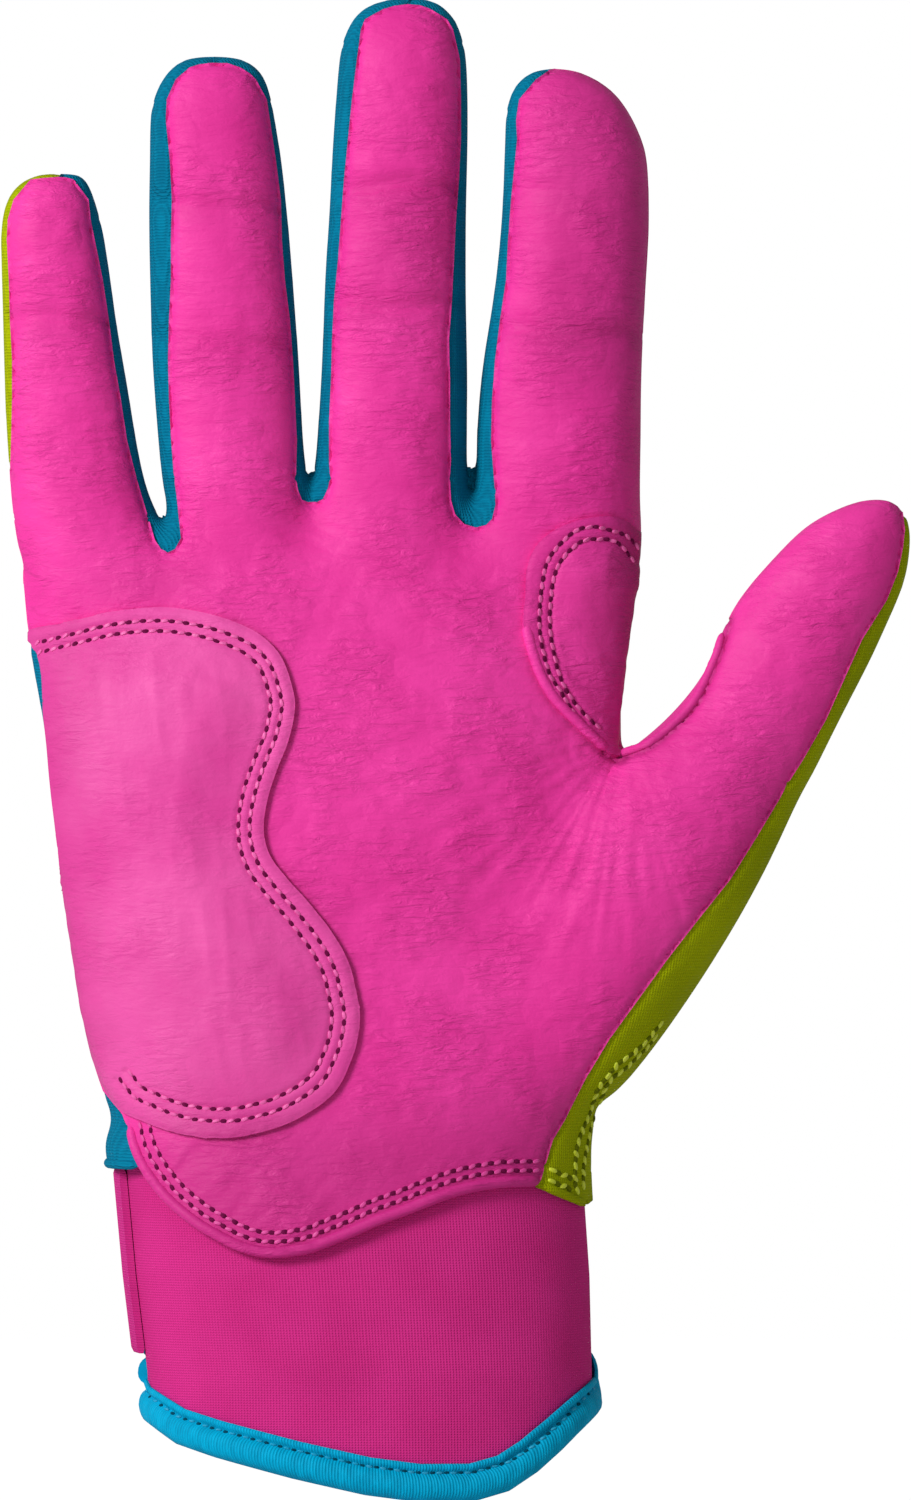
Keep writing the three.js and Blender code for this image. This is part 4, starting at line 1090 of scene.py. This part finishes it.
STITCH = grain_of(8, 0.68, 0.34, 0.85)
# A needle hole is a dark grain: painted shade for the hole.
HOLE = grain_of(8, 0.56, 0.40, 0.9)
HOLE_SUNK = 0.10  # a hole lies this much lower than a stitch, in mm
AWAY_FROM_EYE = -0.12  # a surface that turns further from the eye than this gets no stitch
print("a stitch has", len(STITCH[1]), "faces and a needle hole", len(HOLE[1]))


def stitched(name, tree, rows, pitch=2.35, slant=0.2, size=1.0, lift=0.05, zigzag=0.0):
    """Rows of stitches on a surface, with a needle hole between each two."""
    points, faces, kinds = [], [], []
    for row in rows:
        places, ways = even_line(row, pitch * MM / PX / 2)
        for k, ((x, y), (wx, wy)) in enumerate(zip(places, ways)):
            found = seen_at(tree, [(x, y)])
            if not found or found[0][1].y > AWAY_FROM_EYE:
                continue
            place, normal = found[0]
            along = Vector((wx, 0, -wy))
            along = (along - normal * along.dot(normal)).normalized()
            side = normal.cross(along)
            is_hole = k % 2
            turn = 0 if is_hole else slant + (zigzag if k % 4 else -zigzag)
            ahead = along * math.cos(turn) + side * math.sin(turn)
            across = normal.cross(ahead)
            shape, shape_faces = HOLE if is_hole else STITCH
            height = lift - HOLE_SUNK if is_hole else lift
            start = len(points)
            for a, b, c in shape * size:
                points.append(place + ahead * a + across * b + normal * (c + height * MM))
            faces += [tuple(start + v for v in f) for f in shape_faces]
            kinds += [is_hole] * len(shape_faces)
    mesh = bpy.data.meshes.new(name)
    mesh.from_pydata(points, [], faces)
    mesh.polygons.foreach_set("material_index", kinds)
    mesh.polygons.foreach_set("use_smooth", [True] * len(faces))
    ob = bpy.data.objects.new(name, mesh)
    bpy.context.scene.collection.objects.link(ob)
    print(name, len(faces), "faces")
    return ob


GREEN_ROWS = [smooth_line([(662, 1022), (647, 1040), (637, 1050), (627, 1057), (616, 1066), (607, 1077),
                           (599, 1087), (594, 1099),
                           (590, 1112), (584, 1126), (579, 1139), (576, 1152), (575, 1170), (575, 1185),
                           (579, 1195)]),
              smooth_line([(656, 1035), (650, 1044), (642, 1052), (632, 1062), (623, 1070), (612, 1078),
                           (605, 1088), (601, 1099),
                           (596, 1112), (591, 1126), (588, 1140), (585, 1155), (583, 1170), (583, 1186)])]
TAB_ROWS = [[(550, 1169), (572, 1179)], [(549, 1180), (572, 1190)]]
hem_rows = [inside(HEM[1:], 2.2), inside(HEM[1:], 3.7)]
groove = np.array([cuff_place(t, foot_of_front(t) - 4.2 * MM / PX, 0.4)[0] for t in front_turns])
groove_row = list(zip(*in_pixels(groove)))
binding_face = surface(pieces["binding_palm_side"])
stitching = {
    "heel_stitching": stitched("heel_stitching", surface(pieces["heel_pad"]), HEEL_ROWS),
    "index_stitching": stitched("index_stitching", surface(pieces["index_pad"]), INDEX_ROWS, pitch=2.2),
    "palm_hem_stitching": stitched("palm_hem_stitching", hide_face, hem_rows, pitch=2.1, slant=0.35),
    "thumb_stitching": stitched("thumb_stitching", green_face, GREEN_ROWS + TAB_ROWS, pitch=2.0, slant=0.5,
                                size=1.2, zigzag=0.3),
    "binding_stitching": stitched("binding_stitching", binding_face, [groove_row], pitch=2.3, slant=0.0,
                                  size=0.8),
}

# %% [markdown]
# Materials. Colours are written as sRGB hex and turned to linear by one function. Patterns are
# sized in mm from the rest position, which each piece carries as an attribute, so that a finger
# keeps its grain as it bends. Bands of the cuff carry the length round the wrist instead.

# %% Node helpers
def linear(text):
    parts = [int(text[i:i + 2], 16) / 255 for i in (0, 2, 4)]
    return (*(c / 12.92 if c <= 0.04045 else ((c + 0.055) / 1.055) ** 2.4 for c in parts), 1.0)


def add(tree, kind, inputs, out=0, **settings):
    """Adds a node and gives its output. Inputs go by name or number, as values or as sockets."""
    new = tree.nodes.new("ShaderNode" + kind)
    for key, value in settings.items():
        setattr(new, key, value)
    for key, value in inputs.items():
        if isinstance(value, bpy.types.NodeSocket):
            tree.links.new(value, new.inputs[key])
        else:
            new.inputs[key].default_value = value
    return new.outputs[out]


def new_finish(name, colour, roughness, gloss=0.5, attribute="rest"):
    """A material, its node tree, its surface shader and the place in mm."""
    material = bpy.data.materials.new(name)
    material.use_nodes = True
    tree = material.node_tree
    shader = tree.nodes["Principled BSDF"]
    shader.inputs["Base Color"].default_value = linear(colour)
    shader.inputs["Roughness"].default_value = roughness
    shader.inputs["Specular IOR Level"].default_value = gloss
    place = add(tree, "Attribute", {}, "Vector", attribute_name=attribute)
    in_mm = add(tree, "VectorMath", {0: place, 1: (1000, 1000, 1000)}, operation="MULTIPLY")
    return material, tree, shader, in_mm


# %% [markdown]
# Sheepskin is dyed through and tumbled until it is soft. That leaves it matt, with clouds where the
# dye took unevenly, pores a little under a millimetre apart, and fine creases across the hand.
# Shade is painted into its colour too: darker in the hollows of its fine creases, in folds, along seams and
# where the glove turns from the lamp.

# %% Leather, dyed through and drum-softened
def leather(name, colour, light, dark, deep, wrinkle=0.6):
    material, tree, shader, mm = new_finish(name, colour, 0.55, gloss=0.22)
    tone = add(tree, "TexNoise", {"Vector": mm, "Scale": 0.05, "Detail": 4.0, "Roughness": 0.55})
    clouds = add(tree, "MapRange", {0: tone, 1: 0.35, 2: 0.65})
    cloudy = add(tree, "MixRGB", {0: clouds, 1: linear(dark), 2: linear(light)})
    stretched = add(tree, "VectorMath", {0: mm, 1: (0.26, 0.26, 1.0)}, operation="MULTIPLY")
    ripple = add(tree, "TexNoise", {"Vector": stretched, "Scale": 1.0, "Detail": 4.0, "Roughness": 0.6,
                                    "Distortion": 0.6})
    patches = add(tree, "TexNoise", {"Vector": mm, "Scale": 0.09, "Detail": 2.0})
    patchy = add(tree, "MapRange", {0: patches, 1: 0.42, 2: 0.62, 3: 0.25, 4: 1.0})
    # Painted shade: the hollows of the fine creases are darkened towards the dark colour, in patches.
    painted_shade_amount = add(tree, "MapRange", {0: ripple, 1: 0.5, 2: 0.3})
    crease_shade = add(tree, "Math", {0: painted_shade_amount, 1: patchy}, operation="MULTIPLY")
    crease_shade = add(tree, "Math", {0: crease_shade, 1: 0.4}, operation="MULTIPLY")
    crease_shaded = add(tree, "MixRGB", {0: crease_shade, 1: cloudy, 2: linear(dark)})
    # Painted shade: an attribute, set per piece, darkens the colour towards the deep colour.
    painted_shade = add(tree, "Attribute", {}, "Fac", attribute_name="painted_shade")
    with_painted_shade = add(tree, "MixRGB", {0: painted_shade, 1: crease_shaded, 2: linear(deep)})
    tree.links.new(with_painted_shade, shader.inputs["Base Color"])
    pores = add(tree, "TexVoronoi", {"Vector": mm, "Scale": 1.25, "Randomness": 1.0})
    fine = add(tree, "TexNoise", {"Vector": mm, "Scale": 2.6, "Detail": 3.0, "Roughness": 0.6})
    folds = add(tree, "Math", {0: ripple, 1: patchy}, operation="MULTIPLY")
    dents = add(tree, "Bump", {"Height": pores, "Strength": 0.3, "Distance": 0.07 * MM})
    dents = add(tree, "Bump", {"Height": fine, "Strength": 0.4, "Distance": 0.08 * MM, "Normal": dents})
    dents = add(tree, "Bump", {"Height": folds, "Strength": wrinkle, "Distance": 1.2 * MM, "Normal": dents})
    tree.links.new(dents, shader.inputs["Normal"])
    sheen = add(tree, "MapRange", {0: tone, 1: 0.3, 2: 0.7, 3: 0.62, 4: 0.48})
    tree.links.new(sheen, shader.inputs["Roughness"])
    return material


# %% [markdown]
# Stretch knit is looped from fine yarn and brushed, so the eye sees a matt cloth with rows of small
# slanting loops. The cuff is foam rubber with a finer jersey glued on. Loops are drawn about as
# large as they are, 0.5 mm, and those of the tapes larger, because their hooks and loops stand up.

# %% Stretch knit, looped from fine yarn and brushed
def knit(name, colour, light, dark, across=0.62, up=0.5, depth=0.12, attribute="rest"):
    """A loop is across wide, up high and depth deep, in mm."""
    material, tree, shader, mm = new_finish(name, colour, 0.8, gloss=0.06, attribute=attribute)
    x, y, z = add(tree, "SeparateXYZ", {0: mm}, slice(0, 3))
    sideways = add(tree, "Math", {0: x, 1: y}, operation="ADD")
    wale = add(tree, "Math", {0: sideways, 1: 2 * PI / across}, operation="MULTIPLY")
    wale = add(tree, "Math", {0: wale}, operation="SINE")
    lean = add(tree, "Math", {0: wale, 1: 0.9}, operation="MULTIPLY")
    course = add(tree, "Math", {0: z, 1: 2 * PI / up, 2: lean}, operation="MULTIPLY_ADD")
    course = add(tree, "Math", {0: course}, operation="SINE")
    loops = add(tree, "Math", {0: wale, 1: course}, operation="ADD")
    fuzz = add(tree, "TexNoise", {"Vector": mm, "Scale": 2.2, "Detail": 4.0, "Roughness": 0.7})
    rough_loops = add(tree, "Math", {0: fuzz, 1: 2.4, 2: loops}, operation="MULTIPLY_ADD")
    tone = add(tree, "TexNoise", {"Vector": mm, "Scale": 0.08, "Detail": 3.0})
    cloudy = add(tree, "Math", {0: tone, 1: 6.0, 2: rough_loops}, operation="MULTIPLY_ADD")
    share = add(tree, "MapRange", {0: cloudy, 1: 2.2, 2: 6.2})
    yarn = add(tree, "MixRGB", {0: share, 1: linear(dark), 2: linear(light)})
    tree.links.new(yarn, shader.inputs["Base Color"])
    dents = add(tree, "Bump", {"Height": rough_loops, "Strength": 0.55, "Distance": depth * MM})
    tree.links.new(dents, shader.inputs["Normal"])
    return material


# %% Binding, ribbed elastic tape folded over the raw hem
def tape(name, colour, light, dark, rib_pitch=0.48):
    material, tree, shader, mm = new_finish(name, colour, 0.6, gloss=0.05, attribute="weave")
    along = add(tree, "SeparateXYZ", {0: mm})
    rib = add(tree, "Math", {0: along, 1: 2 * PI / rib_pitch}, operation="MULTIPLY")
    rib = add(tree, "Math", {0: rib}, operation="SINE")
    stretched = add(tree, "VectorMath", {0: mm, 1: (1.0, 1.0, 0.35)}, operation="MULTIPLY")
    pulled = add(tree, "TexNoise", {"Vector": stretched, "Scale": 0.7, "Detail": 3.0, "Roughness": 0.6})
    height = add(tree, "Math", {0: pulled, 1: 8.0, 2: rib}, operation="MULTIPLY_ADD")
    share = add(tree, "MapRange", {0: height, 1: 1.5, 2: 6.5})
    ribbed = add(tree, "MixRGB", {0: share, 1: linear(dark), 2: linear(light)})
    tree.links.new(ribbed, shader.inputs["Base Color"])
    dents = add(tree, "Bump", {"Height": height, "Strength": 0.5, "Distance": 0.1 * MM})
    tree.links.new(dents, shader.inputs["Normal"])
    return material


# %% Sewing thread, spun from polyester, and the painted shade of its needle holes
def thread(name, colour):
    material, tree, shader, mm = new_finish(name, colour, 0.45)
    stretched = add(tree, "VectorMath", {0: mm, 1: (1.0, 1.0, 1.6)}, operation="MULTIPLY")
    strands = add(tree, "TexNoise", {"Vector": stretched, "Scale": 5.0, "Detail": 2.0})
    dents = add(tree, "Bump", {"Height": strands, "Strength": 0.6, "Distance": 0.1 * MM})
    tree.links.new(dents, shader.inputs["Normal"])
    share = add(tree, "MapRange", {0: strands, 1: 0.3, 2: 0.7, 3: 0.75, 4: 1.0})
    spun = add(tree, "MixRGB", {0: share, 1: (0, 0, 0, 1), 2: linear(colour)})
    tree.links.new(spun, shader.inputs["Base Color"])
    return material


# A needle hole's dark colour is painted shade: the shade that falls into the hole.
def needle_hole_shade(name, colour):
    material, tree, shader, mm = new_finish(name, colour, 0.9, gloss=0.1)
    fibres = add(tree, "TexNoise", {"Vector": mm, "Scale": 4.0, "Detail": 3.0})
    share = add(tree, "MapRange", {0: fibres, 1: 0.3, 2: 0.7, 3: 0.6, 4: 1.0})
    dim = add(tree, "MixRGB", {0: share, 1: (0, 0, 0, 1), 2: linear(colour)})
    tree.links.new(dim, shader.inputs["Base Color"])
    return material


# %% Dye each finish
FINISHES = {
    # In each leather the last colour is painted shade; the dark one is its darker tone and also the painted
    # shade in its fine creases.
    "palm_leather": leather("sheepskin, dyed and softened", "E6329A", "ED3BA1", "DE2C92", "A81F6C",
                            wrinkle=0.7),
    "patch_leather": leather("sheepskin over foam", "E04AA0", "E654A6", "DA3D97", "A81F6C", wrinkle=0.45),
    "green_cloth": knit("green stretch knit", "9EAA00", "A8B400", "8E9A00"),
    "blue_cloth": knit("blue stretch knit", "007294", "007C9E", "006686"),
    "cuff_cloth": knit("neoprene faced with jersey", "CB2A80", "D33088", "C12677", 0.5, 0.42, 0.07, "weave"),
    "strap": knit("neoprene strap faced with jersey", "CE2E87", "D6358E", "C2277E", 0.5, 0.42, 0.07, "weave"),
    "binding": tape("folded elastic tape", "00A2CC", "00B0DC", "008CB4"),
    "closure_tape": knit("hook and loop tape", "B02878", "B82C7E", "982066", 0.9, 0.9, 0.4, "weave"),
    "white_cloth": knit("woven white tape", "F2F2F0", "F4F4F2", "E4E4E0", 0.8, 0.4, 0.1, "weave"),
}
knuckle_knit = knit("pink stretch knit", "C92F84", "CF3489", "C02A7C", across=0.9, up=1.6, depth=0.2)
pink_thread = thread("pink polyester thread", "F25FB0")
hem_thread = thread("rose polyester thread", "E445A0")
green_thread = thread("yellow-green polyester thread", "D4E22A")
# Painted shade for the needle holes, dark in the colour round each.
pink_hole_shade = needle_hole_shade("painted shade of needle holes in pink leather", "6E0C44")
green_hole_shade = needle_hole_shade("painted shade of needle holes in green knit", "6A7402")
blue_thread = thread("blue polyester thread", "00A2CA")
blue_hole_shade = needle_hole_shade("painted shade of needle holes in blue tape", "004A62")
THREADS = {"palm_hem_stitching": ("patch_leather", hem_thread, pink_hole_shade),
           "thumb_stitching": ("green_cloth", green_thread, green_hole_shade),
           "binding_stitching": ("binding", blue_thread, blue_hole_shade)}
print("finishes:", len(bpy.data.materials))

# %% Say what each piece is, what carries it and what it replaces
ON_HAND = {
    "palm_hide": ("palm_leather", ["palm_leather"]),
    "hand_back": ("blue_cloth", ["hand_back_panel"]), "knuckle_stretch": ("cuff_cloth",
                                                                          ["knuckle_flex_panel"]),
    "little_ring_crotch": ("blue_cloth", ["little_ring_web"]),
    "ring_middle_crotch": ("blue_cloth", ["ring_middle_web"]),
    "middle_index_crotch": ("blue_cloth", ["middle_index_web"]),
    "heel_pad": ("patch_leather", ["heel_patch", "heel_foam"]),
    "index_pad": ("patch_leather", ["index_patch", "index_foam"]),
    "cuff_palm_side": ("cuff_cloth", ["cuff_front"]), "cuff_back_left": ("cuff_cloth", ["cuff_back_ulnar"]),
    "cuff_back_right": ("cuff_cloth", ["cuff_back_thumb"]), "binding_palm_side": ("binding",
                                                                                  ["hem_binding_front"]),
    "binding_back_left": ("binding", ["hem_binding_back_ulnar"]),
    "binding_back_right": ("binding", ["hem_binding_back_thumb"]),
    "slit_gusset": ("blue_cloth", ["vent_gusset"]), "inner_elastic": ("white_cloth", ["wrist_elastic"]),
    "blank_label": ("white_cloth", ["size_label"]), "loop_patch": ("closure_tape", ["loop_tape"]),
    "strap_base": ("strap", ["strap_anchor"]),
}
ON_STRAP = {"pull_strap": ("strap", ["wrist_strap"]), "hook_patch": ("closure_tape", ["hook_tape"])}
FINGER_PARTS = {"leather": ("palm_leather", "front_leather"), "back": ("blue_cloth", "back_panel"),
                "left_side": ("blue_cloth", "left_fourchette"),
                "right_side": ("blue_cloth", "right_fourchette")}


FINE_TURNS = np.linspace(0, 2 * PI, 721)
FINE_LENGTHS = length_round(FINE_TURNS)


def painted_shade_of(name, co):
    """Painted shade at each place of a piece, from 0 to 1: in hollows, in creases, along seams and where the
    glove turns away from the lamp.
    """
    x, y = in_pixels(co)
    # Painted shade where the glove would turn from the lamp: the palm above the cuff, along the index
    # finger's right edge, on the middle finger's middle joint and on the index finger's right half.
    painted_shade_amount = 0.55 * step_up(y, 1055, 1175) * step_up(x, 60, 200)  # above the cuff
    painted_shade_amount += 0.35 * step_up(x, 600, 650) * step_down(y, 700, 780) * step_down(x, 660, 700)
    painted_shade_amount += 0.30 * np.exp(-((x - 410) / 60)**2 - ((y - 245) / 45)**2)
    index_side = step_up(x, 515, 570) * (1 - 0.7 * step_up(x, 590, 640)) * step_down(y, 330, 420) * (x < 700)
    painted_shade_amount += 0.34 * index_side
    # Painted shade in the creases across the fingers.
    for finger, folds in CREASES.items():
        span = np.array(FINGER_ROWS[finger])
        left, right = (np.interp(-y, -span[:, 0], span[:, k]) for k in (1, 2))
        for row, depth in folds:
            fold = 0.35 * depth * np.exp(-((y - row - 6) / 16)**2)
            painted_shade_amount += np.where((x > left) & (x < right), fold, 0)
    # The index pad is darker all over, with painted shade towards its right side.
    if name == "index_pad":
        painted_shade_amount += 0.22 + 0.45 * step_up(x, 580, 640)
    # Painted shade at the heel pad's left edge, where the hand turns to its side; darker towards the bottom.
    if name == "heel_pad":
        painted_shade_amount += 0.30 * step_down(x, 45, 140) + 0.10 * step_up(y, 850, 1000)
    # On the palm: painted shade beside the thumb seam and above the heel pad, and painted shadows along the
    # index pad's welt and outside the heel pad's edge.
    if name == "palm_hide":
        from_seam = distance_to(smooth_line(THUMB_SEAM, step=3.0), co)
        from_pad = distance_to(smooth_line(HEEL[:HEEL_SEWN], step=3.0), co)
        from_ridge = distance_to(ridge_line, co) - 1.15
        painted_shade_amount += 0.12 * np.exp(-(from_seam / 5.0)**2)
        painted_shade_amount += 0.5 * step_up(y, 640, 680) * np.exp(-(from_ridge / 0.5)**2)
        painted_shade_amount += 0.45 * step_up(x, 190, 240) * np.exp(-from_pad / 0.9)
        painted_shade_amount += 0.25 * np.exp(-((x - 150) / 60)**2 - ((y - 585) / 25)**2)
    # Painted shade along the seam at the thumb's crotch.
    if name in ("palm_hide", "thumb_leather", "crotch_strip"):
        from_crotch = distance_to(smooth_line(CROTCH[1:], step=2.0), co)
        painted_shade_amount += 0.6 * np.exp(-(from_crotch / 0.75)**2)
    return np.clip(painted_shade_amount, 0, 1)


def weave_of(co):
    """The length round the wrist and the height of each place, for the weave of the cuff."""
    rows = np.array(CUFF_ROWS)
    left, right, deep = (np.interp(WRIST_Y - co[:, 2] / PX, rows[:, 0], rows[:, k]) for k in (1, 2, 3))
    x = (co[:, 0] / PX + WRIST_X - (left + right) / 2) / ((right - left) / 2)
    y = co[:, 1] / (deep * MM)
    rounded = lambda v: np.sign(v) * np.abs(v) ** (CUFF_POWER / 2)
    turn = np.arctan2(rounded(y), rounded(x)) % (2 * PI)
    return np.stack([np.interp(turn, FINE_TURNS, FINE_LENGTHS), np.zeros(len(co)), co[:, 2]], axis=1)


def carry_place(ob):
    """Gives a piece its rest place, its painted shade and its weave as attributes."""
    co = points_of(ob)
    new = ob.data.attributes.new
    new("rest", "FLOAT_VECTOR", "POINT").data.foreach_set("vector", co.ravel())
    new("painted_shade", "FLOAT", "POINT").data.foreach_set("value", painted_shade_of(ob.name, co))
    new("weave", "FLOAT_VECTOR", "POINT").data.foreach_set("vector", weave_of(co).ravel())


def finish(ob, slot, *materials):
    """A piece's materials, smooth shading, slot and attributes."""
    if len(ob.data.materials):
        ob.data.materials.clear()
    for material in materials or [FINISHES[slot]]:
        ob.data.materials.append(material)
    alone(ob)
    bpy.ops.object.shade_smooth_by_angle(angle=math.radians(45))
    carry_place(ob)


for body, table in (("hand", ON_HAND), ("strap", ON_STRAP)):
    for name, (slot, nodes) in table.items():
        finish(pieces[name], slot)
        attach(pieces[name], body)
        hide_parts(*nodes)
pieces["knuckle_stretch"].data.materials[0] = knuckle_knit
pieces["index_pad"].data.materials[0] = FINISHES["palm_leather"]
for name in FINGER_ROWS:
    for part, (slot, node) in FINGER_PARTS.items():
        ob = pieces.get(name + "_" + part)
        if ob:
            finish(ob, "green_cloth" if (name, part) == ("little", "back") else slot)
            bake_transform(ob)
            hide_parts(name + "_" + node)
THUMB_PARTS = {"thumb_leather": ("palm_leather", ["thumb_front_leather"]),
               "crotch_strip": ("palm_leather", ["thumb_gusset"]),
               "thumb_green": ("green_cloth", ["thumb_back_panel", "thumb_back_base"])}
for name, (slot, nodes) in THUMB_PARTS.items():
    finish(pieces[name], slot)
    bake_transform(pieces[name])
    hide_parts(*nodes)
for name, ob in stitching.items():
    slot, *threads = THREADS.get(name, ("patch_leather", pink_thread, pink_hole_shade))
    finish(ob, slot, *threads)
    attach(ob, "hand")

# %% [markdown]
# The camera looks level at the middle of the glove from 2.2 m, as the catalogue photograph does.

# %% Camera
scene = bpy.context.scene
camera = bpy.data.objects.new("camera", bpy.data.cameras.new("camera"))
scene.collection.objects.link(camera)
camera.location = spot(*MIDDLE, -CAMERA_FAR)
camera.rotation_euler = (math.radians(90), 0, 0)
camera.data.lens = camera.data.sensor_width * CAMERA_FAR / (1500 * PX)
scene.camera = camera
print("camera lens:", round(camera.data.lens, 1), "mm")

# %% [markdown]
# One large soft lamp at the upper left in front, and a white surrounding light. The camera sees
# plain white behind the glove, and a floor that is white but for the glove's faint shadow.

# %% Light, background and floor
scene.view_settings.view_transform = "Standard"
world = bpy.data.worlds.new("white studio")
scene.world = world
world.use_nodes = True
tree = world.node_tree
ambient = tree.nodes["Background"]
ambient.inputs["Color"].default_value = (1, 1, 1, 1)
ambient.inputs["Strength"].default_value = 0.33
plain = add(tree, "Background", {"Color": (1, 1, 1, 1), "Strength": 1.0})
to_camera = add(tree, "LightPath", {}, "Is Camera Ray")
which = add(tree, "MixShader", {0: to_camera, 1: ambient.outputs[0], 2: plain})
tree.links.new(which, tree.nodes["World Output"].inputs["Surface"])


def area_lamp(name, place, watts, size):
    lamp = bpy.data.objects.new(name, bpy.data.lights.new(name, "AREA"))
    lamp.data.energy = watts
    lamp.data.size = size
    lamp.location = place
    lamp.rotation_euler = (Vector((0.01, 0, 0.1)) - lamp.location).to_track_quat("-Z", "Y").to_euler()
    scene.collection.objects.link(lamp)


area_lamp("key", (-0.85, -0.75, 0.62), watts=14.0, size=0.40)

FLOOR_DROP = 0.5 * MM
lowest = min(float(points_of(ob)[:, 2].min()) for ob in pieces.values())
bpy.ops.mesh.primitive_circle_add(vertices=96, radius=0.6, fill_type="NGON",
                                  location=(0, 0, lowest - FLOOR_DROP))
floor = bpy.context.object
floor.name = "floor"
white = bpy.data.materials.new("white paper")
white.use_nodes = True
tree = white.node_tree
paper = tree.nodes["Principled BSDF"]
paper.inputs["Base Color"].default_value = (0.8, 0.8, 0.8, 1)
paper.inputs["Roughness"].default_value = 0.9
glow = add(tree, "Emission", {"Color": (1, 1, 1, 1), "Strength": 1.06})
to_camera = add(tree, "LightPath", {}, "Is Camera Ray")
share = add(tree, "Math", {0: to_camera, 1: 0.95}, operation="MULTIPLY")
seen = add(tree, "MixShader", {0: share, 1: paper.outputs[0], 2: glow})
tree.links.new(seen, tree.nodes["Material Output"].inputs["Surface"])
floor.data.materials.append(white)

# %% Clear the blocks away and list the CAD nodes still shown
for ob in [*cutters, hand]:
    bpy.data.objects.remove(ob)
left_over = [name for name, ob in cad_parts.items() if not ob.hide_render]
print("CAD nodes still shown:", left_over)
